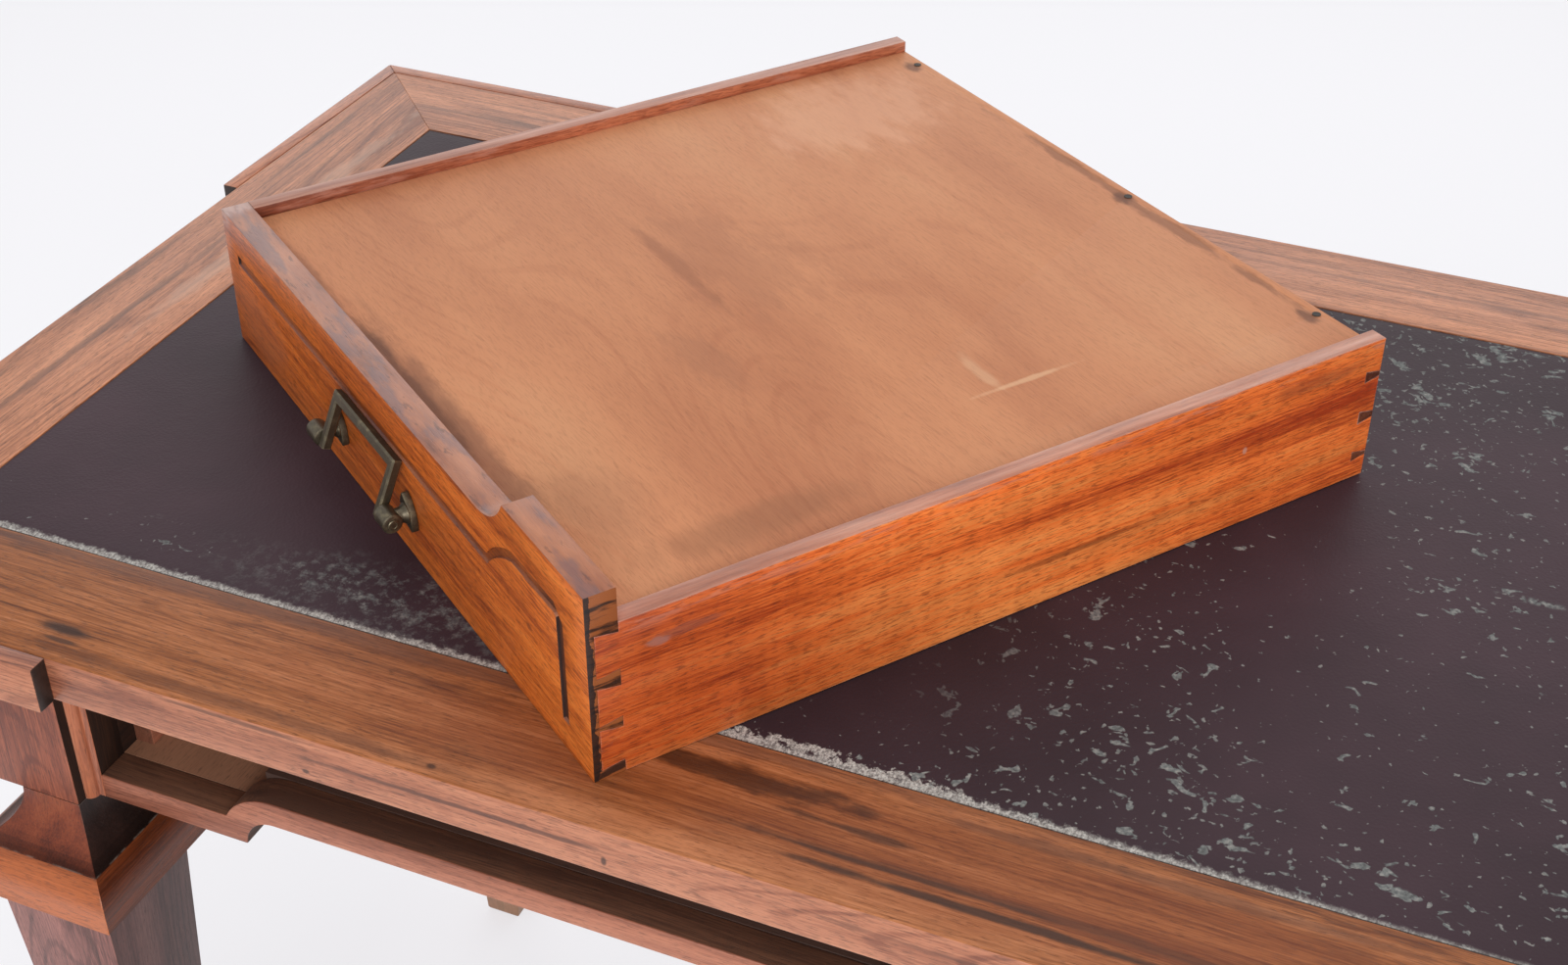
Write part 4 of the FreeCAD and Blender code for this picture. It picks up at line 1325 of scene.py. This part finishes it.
@dataclass
class Frieze:
    """The boards under the top, seen and unseen.

    Attributes:
        body: Body that they ride on.
    """

    body: str = "desk"

    def build(self) -> None:
        """Build the blocks, stiles, rails and inner boards."""
        for place in CORNERS:
            self.block("corner_block_" + place)
        for side in ("left", "right"):
            # Stiles: near-black painted shade on faces that don't look forwards, and a painted orange highlight on the
            # bead.
            self.board(f"stile_{side}", CASE_WOOD, Along.Z, "case_wood", 0.5, PAINTED_SHADE_WOOD, BEAD_PAINTED_HIGHLIGHT)
            self.board(f"front_rail_{side}", CASE_WOOD, Along.X, "case_wood", 0.8, INNER_WOOD)
            self.board(f"side_panel_{side}", BLOCK_WOOD, Along.Y, "case_wood", 0.6)
            # Drawer guides in the opening: near-black painted shade.
            self.board(f"drawer_guide_{side}", PAINTED_SHADE_WOOD, Along.Y, "inner_wood", 0.4)
            self.board(f"lower_floor_{side}", FLOOR_WOOD, Along.Y, "inner_wood", 0.4)
            self.board(f"upper_floor_{side}", DUST_WOOD, Along.X, "inner_wood", 0.6)
            self.board(f"runner_{side}", CASE_WOOD, Along.Y, "case_wood", 0.8)
        # Centre stile: painted shade on the faces that don't look forwards.
        self.board("stile_centre", CASE_WOOD, Along.Z, "case_wood", 0.5, PAINTED_SHADE_WOOD)
        self.board("centre_partition", INNER_WOOD, Along.Y, "inner_wood", 0.4)
        self.board("back_panel", BLOCK_WOOD, Along.X, "case_wood", 0.6)
        self.board("glue_blocks", INNER_WOOD, Along.X, "inner_wood", 0.6)

    def block(self, node: str) -> None:
        """Build one corner block with vertical grain.

        Args:
            node: The node's name.
        """
        low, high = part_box(node)
        piece = Piece.block(node + "_solid", low, high)
        piece.ease(0.9 * MM)
        frame = BoardFrame(origin=middle(node), grain=Along.Z, shift=(0.3, low.x * 3, low.y * 2))
        piece.deliver(node, self.body, "case_wood", BLOCK_WOOD.dress(node, frame))
        # A front block's inward face beside the stile gets near-black painted shade.
        if "front" in node:
            outward = math.copysign(1.0, low.x + high.x)
            piece.also(PAINTED_SHADE_WOOD.dress(node, frame), lambda centre, normal: normal.x * outward < -0.7)

    def board(self, node: str, wood: Wood, grain: Along, slot: str, arris: float, behind: Wood | None = None,
              bead: Wood | None = None) -> None:
        """Dress one board of the frame with eased arrises.

        Args:
            node: The node's name.
            wood: Its wood.
            grain: Its grain's direction.
            slot: Name of the material slot, passed on to deliver.
            arris: Rounding in millimetres.
            behind: Darker wood of the faces that don't look forwards, if they differ; on the stiles it is near-black
                painted shade.
            bead: Wood of the faces that look forwards at a slant, if they differ: a painted orange highlight on the
                stile's bead.
        """
        low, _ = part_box(node)
        piece = Piece.eased_node(node, node + "_board", arris * MM)
        frame = BoardFrame(origin=middle(node), grain=grain, shift=(low.x, low.y * 3, low.z))
        piece.deliver(node, self.body, slot, wood.dress(node, frame))
        if behind is not None:
            piece.also(behind.dress(node + ".behind", frame), lambda centre, normal: normal.y >= -0.05)
        if bead is not None:
            piece.also(bead.dress(node + ".bead", frame),
                       lambda centre, normal: -0.98 < normal.y < -0.05 and abs(normal.z) < 0.1)


@dataclass
class Leg:
    """A leg with its neck, cove, moulded collar and tapered shaft.

    Attributes:
        place: Which leg.
        neck: Half width of the neck.
        cove: How far the cove flares.
        cove_height: Height of the cove.
        fascia: Height of the collar's upright face.
        core: Half width of the core under the collar.
        head: Half width of the shaft under the collar.
        foot: Half width of the foot.
        tenon: Half width of the tenon.
        swell: Bulge of the collar's moulding.
        facets: Number of facets of the cove and of the moulding.
        body: Body that it rides on.
    """

    place: str
    neck: float = 20.75 * MM
    cove: float = 22.9 * MM
    cove_height: float = 31.4 * MM
    fascia: float = 12.8 * MM
    core: float = 30.0 * MM
    head: float = 40.0 * MM
    foot: float = 16.0 * MM
    tenon: float = 12.5 * MM
    swell: float = 3.5 * MM
    facets: int = 10
    body: str = "desk"

    def build(self) -> None:
        """Build the leg and its collar."""
        centre = middle("leg_" + self.place)[:2]
        self.shaft(centre)
        self.collar(centre)

    def shaft(self, centre: Pair) -> None:
        """Raise the leg from its foot to its tenon.

        Args:
            centre: Axis in plan.
        """
        low, high = (corner.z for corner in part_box("collar_" + self.place))
        joint = high + self.cove_height
        chamfer, sliver = 3 * MM, 0.01 * MM
        loops = [(self.foot - chamfer, 0.0), (self.foot - chamfer * 0.3, chamfer * 0.35), (self.foot, chamfer),
                 (self.head, low), (self.core, low + sliver), (self.core, high)]
        radius = (self.cove_height ** 2 + self.cove ** 2) / (2 * self.cove)
        turn = math.asin(self.cove_height / radius)
        for index in range(self.facets, -1, -1):
            angle = turn * index / self.facets
            loops.append((self.neck + radius * (1 - math.cos(angle)), joint - radius * math.sin(angle)))
        loops += [(self.tenon, joint + sliver), (self.tenon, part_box("leg_" + self.place)[1].z)]
        leg = Piece.raised(f"leg_{self.place}_post", loops, centre)
        leg.ease(0.7 * MM, 2, lambda a, b: abs(a.z - b.z) > 1 * MM)
        frame = BoardFrame(origin=(*centre, 0.3), grain=Along.Z, shift=(0.2, centre[0] * 2, centre[1] * 3))
        leg.deliver("leg_" + self.place, self.body, "case_wood", LEG_WOOD.dress(self.place, frame, FOOT_BLOTS), 25)

        def above(centre_of_face: Vector, normal: Vector) -> bool:
            """Tell whether a face lies above the collar."""
            return centre_of_face.z > high - 1 * MM

        leg.also(COVE_WOOD.dress(self.place, frame), above)
        # Inward faces of a front leg and its cove get painted shade.
        leg.also(PAINTED_SHADE_LEG.dress(self.place, frame, FOOT_BLOTS), lambda spot, normal: self.inward(normal, centre))
        leg.also(PAINTED_SHADE_COVE.dress(self.place, frame),
                 lambda spot, normal: self.inward(normal, centre) and above(spot, normal))

    def inward(self, normal: Vector, centre: Pair) -> bool:
        """Tell whether a face of a front leg looks towards the middle of the desk."""
        return "front" in self.place and normal.x * centre[0] < 0 and abs(normal.x) > abs(normal.y)

    def collar(self, centre: Pair) -> None:
        """Raise the mitred moulding round the leg.

        Args:
            centre: Axis in plan.
        """
        low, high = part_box("collar_" + self.place)
        half = (high.x - low.x) / 2
        run, rise, chamfer = self.neck + self.cove - half, high.z - low.z - self.fascia, 0.6 * MM
        chord = Vector((run, rise)).normalized()
        loops = [(self.core, low.z), (half - chamfer, low.z), (half, low.z + chamfer), (half, low.z + self.fascia)]
        for index in range(1, self.facets + 1):
            share = index / self.facets
            bulge = self.swell * 4 * share * (1 - share)
            loops.append((half + run * share + chord.y * bulge,
                          low.z + self.fascia + rise * share - chord.x * bulge))
        loops.append((self.core, high.z + 0.01 * MM))
        collar = Piece.raised(f"collar_{self.place}_moulding", loops, centre)
        below, over = low.z - 10 * MM, high.z + 10 * MM
        collar.carve(Piece.block("core", [c - self.core for c in centre] + [below],
                                 [c + self.core for c in centre] + [over]))
        collar.ease(0.4 * MM, 1, lambda a, b: abs(a.z - b.z) > 0.5 * MM and min(
            abs(a.x - centre[0]), abs(a.y - centre[1])) > self.core + 2 * MM)
        frame = BoardFrame(origin=(*centre, high.z), grain=Along.X, shift=(0.1, centre[0] * 3, 0.0))
        collar.deliver("collar_" + self.place, self.body, "collar_wood", COLLAR_WOOD.dress(self.place, frame), 25)
        frame = replace(frame, grain=Along.Y)
        collar.also(COLLAR_WOOD.dress(self.place + "_side", frame), lambda spot, normal: abs(normal.x) > abs(normal.y))
        # Inward faces of a front collar get painted shade.
        collar.also(PAINTED_SHADE_COLLAR.dress(self.place, frame), lambda spot, normal: self.inward(normal, centre))


class Pose(Enum):
    """How a drawer is kept."""

    LYING = "left_drawer"
    SEATED = "right_drawer"


@dataclass
class Drawer:
    """A drawer with its dovetailed sides and drop handle, in its own frame.

    The drawer's own frame has X from the deep outer end, Y from the face to the back
    and Z up from the top edge. The sizes from posts on are in millimetres.

    Attributes:
        pose: Whether it lies on the top or sits in its opening.
        turn: Angle in plan of the lying drawer, in degrees.
        lean: Lean of the bail towards the face, in degrees.
        posts: The two posts' places along the front.
        handle_down: How far the posts are below the top edge.
        knuckle_out: How far the knuckles' axis is in front of the face.
        knuckle_half: Half length of a knuckle.
        thickness: Thickness of the front.
        plate: Thickness of the crescent plates.
        bar: Half width of the bail's bars.
    """

    pose: Pose
    turn: float = 35.4
    lean: float = 22.493
    posts: Pair = (211.5, 311.5)
    handle_down: float = 35.0
    knuckle_out: float = 15.0
    knuckle_half: float = 7.0
    thickness: float = 17.5
    plate: float = 4.5
    bar: float = 3.0

    @property
    def body(self) -> str:
        """Name of the drawer's body."""
        return self.pose.value

    def matrix(self) -> Matrix:
        """Return the matrix from the drawer's own frame to the row frame.

        Returns:
            The matrix.
        """
        low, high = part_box(self.body + "_front")
        if self.pose is Pose.LYING:
            angle = math.radians(self.turn)
            corner = Vector((high.x - self.thickness * MM * math.sin(angle), low.y, low.z))
            return Matrix.Translation(corner) @ Matrix.Rotation(-angle, 4, "Z") @ Matrix.Rotation(math.pi, 4, "Y")
        return Matrix.Translation(corner_of(low, high, False, True)) @ Matrix.Scale(-1.0, 4, (1.0, 0.0, 0.0))

    def frame(self, grain: Along, shift: Triple) -> BoardFrame:
        """Return the pattern frame of one of the drawer's boards.

        Args:
            grain: Its grain's direction.
            shift: Offset into the log.

        Returns:
            The frame.
        """
        place = tuple(self.matrix().translation)
        if self.pose is Pose.LYING:
            return BoardFrame(origin=place, turn=(0.0, 180.0, -self.turn), grain=grain, shift=shift)
        return BoardFrame(origin=place, flip=True, grain=grain, shift=tuple(s + 0.37 for s in shift))

    def build(self) -> None:
        """Build every piece of the drawer."""
        turned = self.matrix().to_3x3()
        up, end = tuple(turned @ Vector((0.0, 0.0, -1.0))), tuple(turned @ Vector((-1.0, 0.0, 0.0)))
        front, side, dull = replace(FRONT_WOOD, edge_up=up, end_out=end), replace(SIDE_WOOD, edge_up=up), replace(
            DULL_SIDE, edge_up=up)
        marks = SIDE_BLOTS if self.pose is Pose.LYING else ()
        self.board("front", front, Along.X, "front_wood", 0.5, (0.0, 0.0, 0.0), FRONT_BLOTS)
        self.board("side_outer", side, Along.Y, "side_wood", 0.35, (0.4, 0.0, 0.03), marks)
        self.board("side_inner", dull, Along.Y, "side_wood", 0.35, (0.9, 0.3, 0.0))
        self.board("back", dull, Along.X, "side_wood", 0.35, (1.4, 0.2, 0.0))
        self.board("bottom", BOTTOM_WOOD, Along.X, "bottom_wood", 0.3, (0.0, 0.0, 0.0), BOTTOM_STAINS_AND_SHADE)
        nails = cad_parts[self.body + "_nails"].data.materials
        nails.clear()
        nails.append(IRON.dress(self.body))
        self.plates()
        self.post_pair()
        self.bail()

    def board(self, part: str, wood: Wood, grain: Along, slot: str, arris: float, shift: Triple,
              marks: Sequence[Blot] = ()) -> None:
        """Dress one of the drawer's boards.

        Args:
            part: Which board.
            wood: Its wood.
            grain: Its grain's direction in the drawer's frame.
            slot: Name of the material slot, passed on to deliver.
            arris: Rounding in millimetres.
            shift: Offset into the log.
            marks: Stains on it, with painted shade on the bottom, in the drawer's own frame.
        """
        node = f"{self.body}_{part}"
        piece = Piece.eased_node(node, node + "_board", arris * MM)
        piece.deliver(node, self.body, slot, wood.dress(node, self.frame(grain, shift), marks))

    def at(self, x: float, y: float, quarter_about: str) -> Matrix:
        """Return the matrix that lays a turned piece down at a place of the handle, in millimetres."""
        place = Vector((x, y, -self.handle_down)) * MM
        return Matrix.Translation(place) @ Matrix.Rotation(math.radians(90), 4, quarter_about)

    def plates(self) -> None:
        """Cast the two crescent plates: a bar's section spun through its curve."""
        radius, width, thick = 15 * MM, 9 * MM, self.plate * MM
        heading, half = math.radians(27), math.radians(38)
        pieces = []
        for number, place in enumerate(self.posts):
            post = Vector((place, 0.0, -self.handle_down)) * MM
            centre = post + Vector((math.cos(heading), 0.0, math.sin(heading))) * radius
            Piece.clear()
            bpy.ops.mesh.primitive_plane_add(size=1.0, location=(0, 0, 0))
            plate = Piece.added(f"crescent_{number}")
            arm = Vector((math.cos(heading - half), 0.0, math.sin(heading - half)))
            for vertex in plate.thing.data.vertices:
                x, y = vertex.co.x, vertex.co.y
                vertex.co = centre - arm * (radius + x * width) + Vector((0.0, -thick * (0.5 + y), 0.0))
            with plate.editing("FACE", "SELECT"):
                bpy.ops.mesh.spin(steps=18, angle=2 * half, center=centre, axis=(0.0, 1.0, 0.0))
                bpy.ops.mesh.select_all(action="SELECT")
                bpy.ops.mesh.remove_doubles(threshold=1e-6)
                bpy.ops.mesh.normals_make_consistent(inside=False)
            plate.ease(0.9 * MM, 3)
            pieces.append(plate)
        self.mount(Piece.joined(self.body + "_crescents", pieces), "handle_plates", self.body)

    def post_pair(self) -> None:
        """Turn the two posts with their knuckles, stems and nuts."""
        plate, half, outer = self.plate, self.knuckle_half, -self.thickness - 4
        stem = metres((2.5, outer), (2.5, plate - 0.01), (6.1, plate), (6.2, plate + 0.5), (5.9, plate + 1.2),
                      (5.0, plate + 2.4), (4.6, plate + 3.8), (4.6, self.knuckle_out))
        rings = ((4.7, 0.0), (5.4, 0.25), (5.9, 0.8), (6.0, 1.5))
        knuckle = metres(*((r, -half + inset) for r, inset in rings), *((r, half - inset) for r, inset in rings[::-1]))
        pieces = []
        for place in self.posts:
            pieces.append(Piece.raised("post", stem, sides=40).move(self.at(place, 0.0, "X")))
            pieces.append(Piece.raised("knuckle", knuckle, sides=40).move(self.at(place, -self.knuckle_out, "Y")))
            nut = Piece.raised("nut", metres((5, outer), (5, -self.thickness)), sides=6)
            nut.ease(0.4 * MM, 1)
            pieces.append(nut.move(self.at(place, 0.0, "X")))
        self.mount(Piece.joined(self.body + "_posts", pieces), "handle_posts", self.body)

    def bail(self) -> None:
        """Make the bail from three bars with mitred corners and chamfered arrises."""
        bar, y = self.bar, -self.knuckle_out
        reach = self.knuckle_half + 0.3 + bar
        left, right = self.posts[0] + reach, self.posts[1] - reach
        low, tip = -self.handle_down - 29, 4 - self.handle_down
        bars = []
        for side, x in ((1, left), (-1, right)):
            arm = Piece.block("arm", *metres((x - bar, y - bar, low - bar), (x + bar, y + bar, tip)))
            arm.saw(*metres((x - side * bar, y, low - bar)), (side, 0.0, -1.0))
            bars.append(arm)
        grip = Piece.block("grip", *metres((left - bar, y - bar, low - bar), (right + bar, y + bar, low + bar)))
        grip.saw(*metres((left - bar, y, low - bar)), (-1.0, 0.0, 1.0))
        grip.saw(*metres((right + bar, y, low - bar)), (1.0, 0.0, 1.0))
        bars.append(grip)
        for piece in bars:
            piece.ease(1 * MM, 1, lambda a, b: (b - a).length > 9 * MM)
        head = reach + self.knuckle_half + 0.2
        profile = metres((1.6, 0.0), (1.6, head), (3.1, head + 0.01), (3.2, head + 0.4), (2.7, head + 0.75),
                         (1.9, head + 0.8), (1.7, head + 0.5))
        for x, way in ((left, -1), (right, 1)):
            turned = Matrix.Rotation(math.radians(90 * way), 4, "Y")
            pin = Piece.raised("pin", profile, sides=28)
            bars.append(pin.move(Matrix.Translation(Vector((x, y, -self.handle_down)) * MM) @ turned))
        body = self.body.replace("drawer", "bail")
        bail = Piece.joined(body + "_bars", bars)
        if self.pose is Pose.LYING:
            pivot = Vector(((left + right) / 2, y, -self.handle_down)) * MM
            lean = Matrix.Translation(pivot) @ Matrix.Rotation(math.radians(self.lean), 4, "X")
            bail.move(lean @ Matrix.Translation(-pivot))
        self.mount(bail, "bail", body)

    def mount(self, piece: Piece, part: str, body: str) -> None:
        """Put a finished metal piece in its place on the drawer.

        Args:
            piece: The piece, in the drawer's own frame.
            part: The node that it stands for.
            body: The body that it rides on.
        """
        piece.move(self.matrix())
        piece.deliver(f"{self.body}_{part}", body, "bronze", BRONZE.dress(piece.thing.name), 24)


def main() -> None:
    """Build the studio and the desk in order."""
    logging.basicConfig(level=logging.INFO, format="%(name)s: %(message)s")
    bpy.context.scene.view_settings.view_transform = "Standard"
    studio = Studio()
    studio.aim()
    studio.light()
    studio.floor()
    Top().build()
    Frieze().build()
    for place in CORNERS:
        Leg(place).build()
    for pose in Pose:
        Drawer(pose).build()


if __name__ == "__main__":
    main()
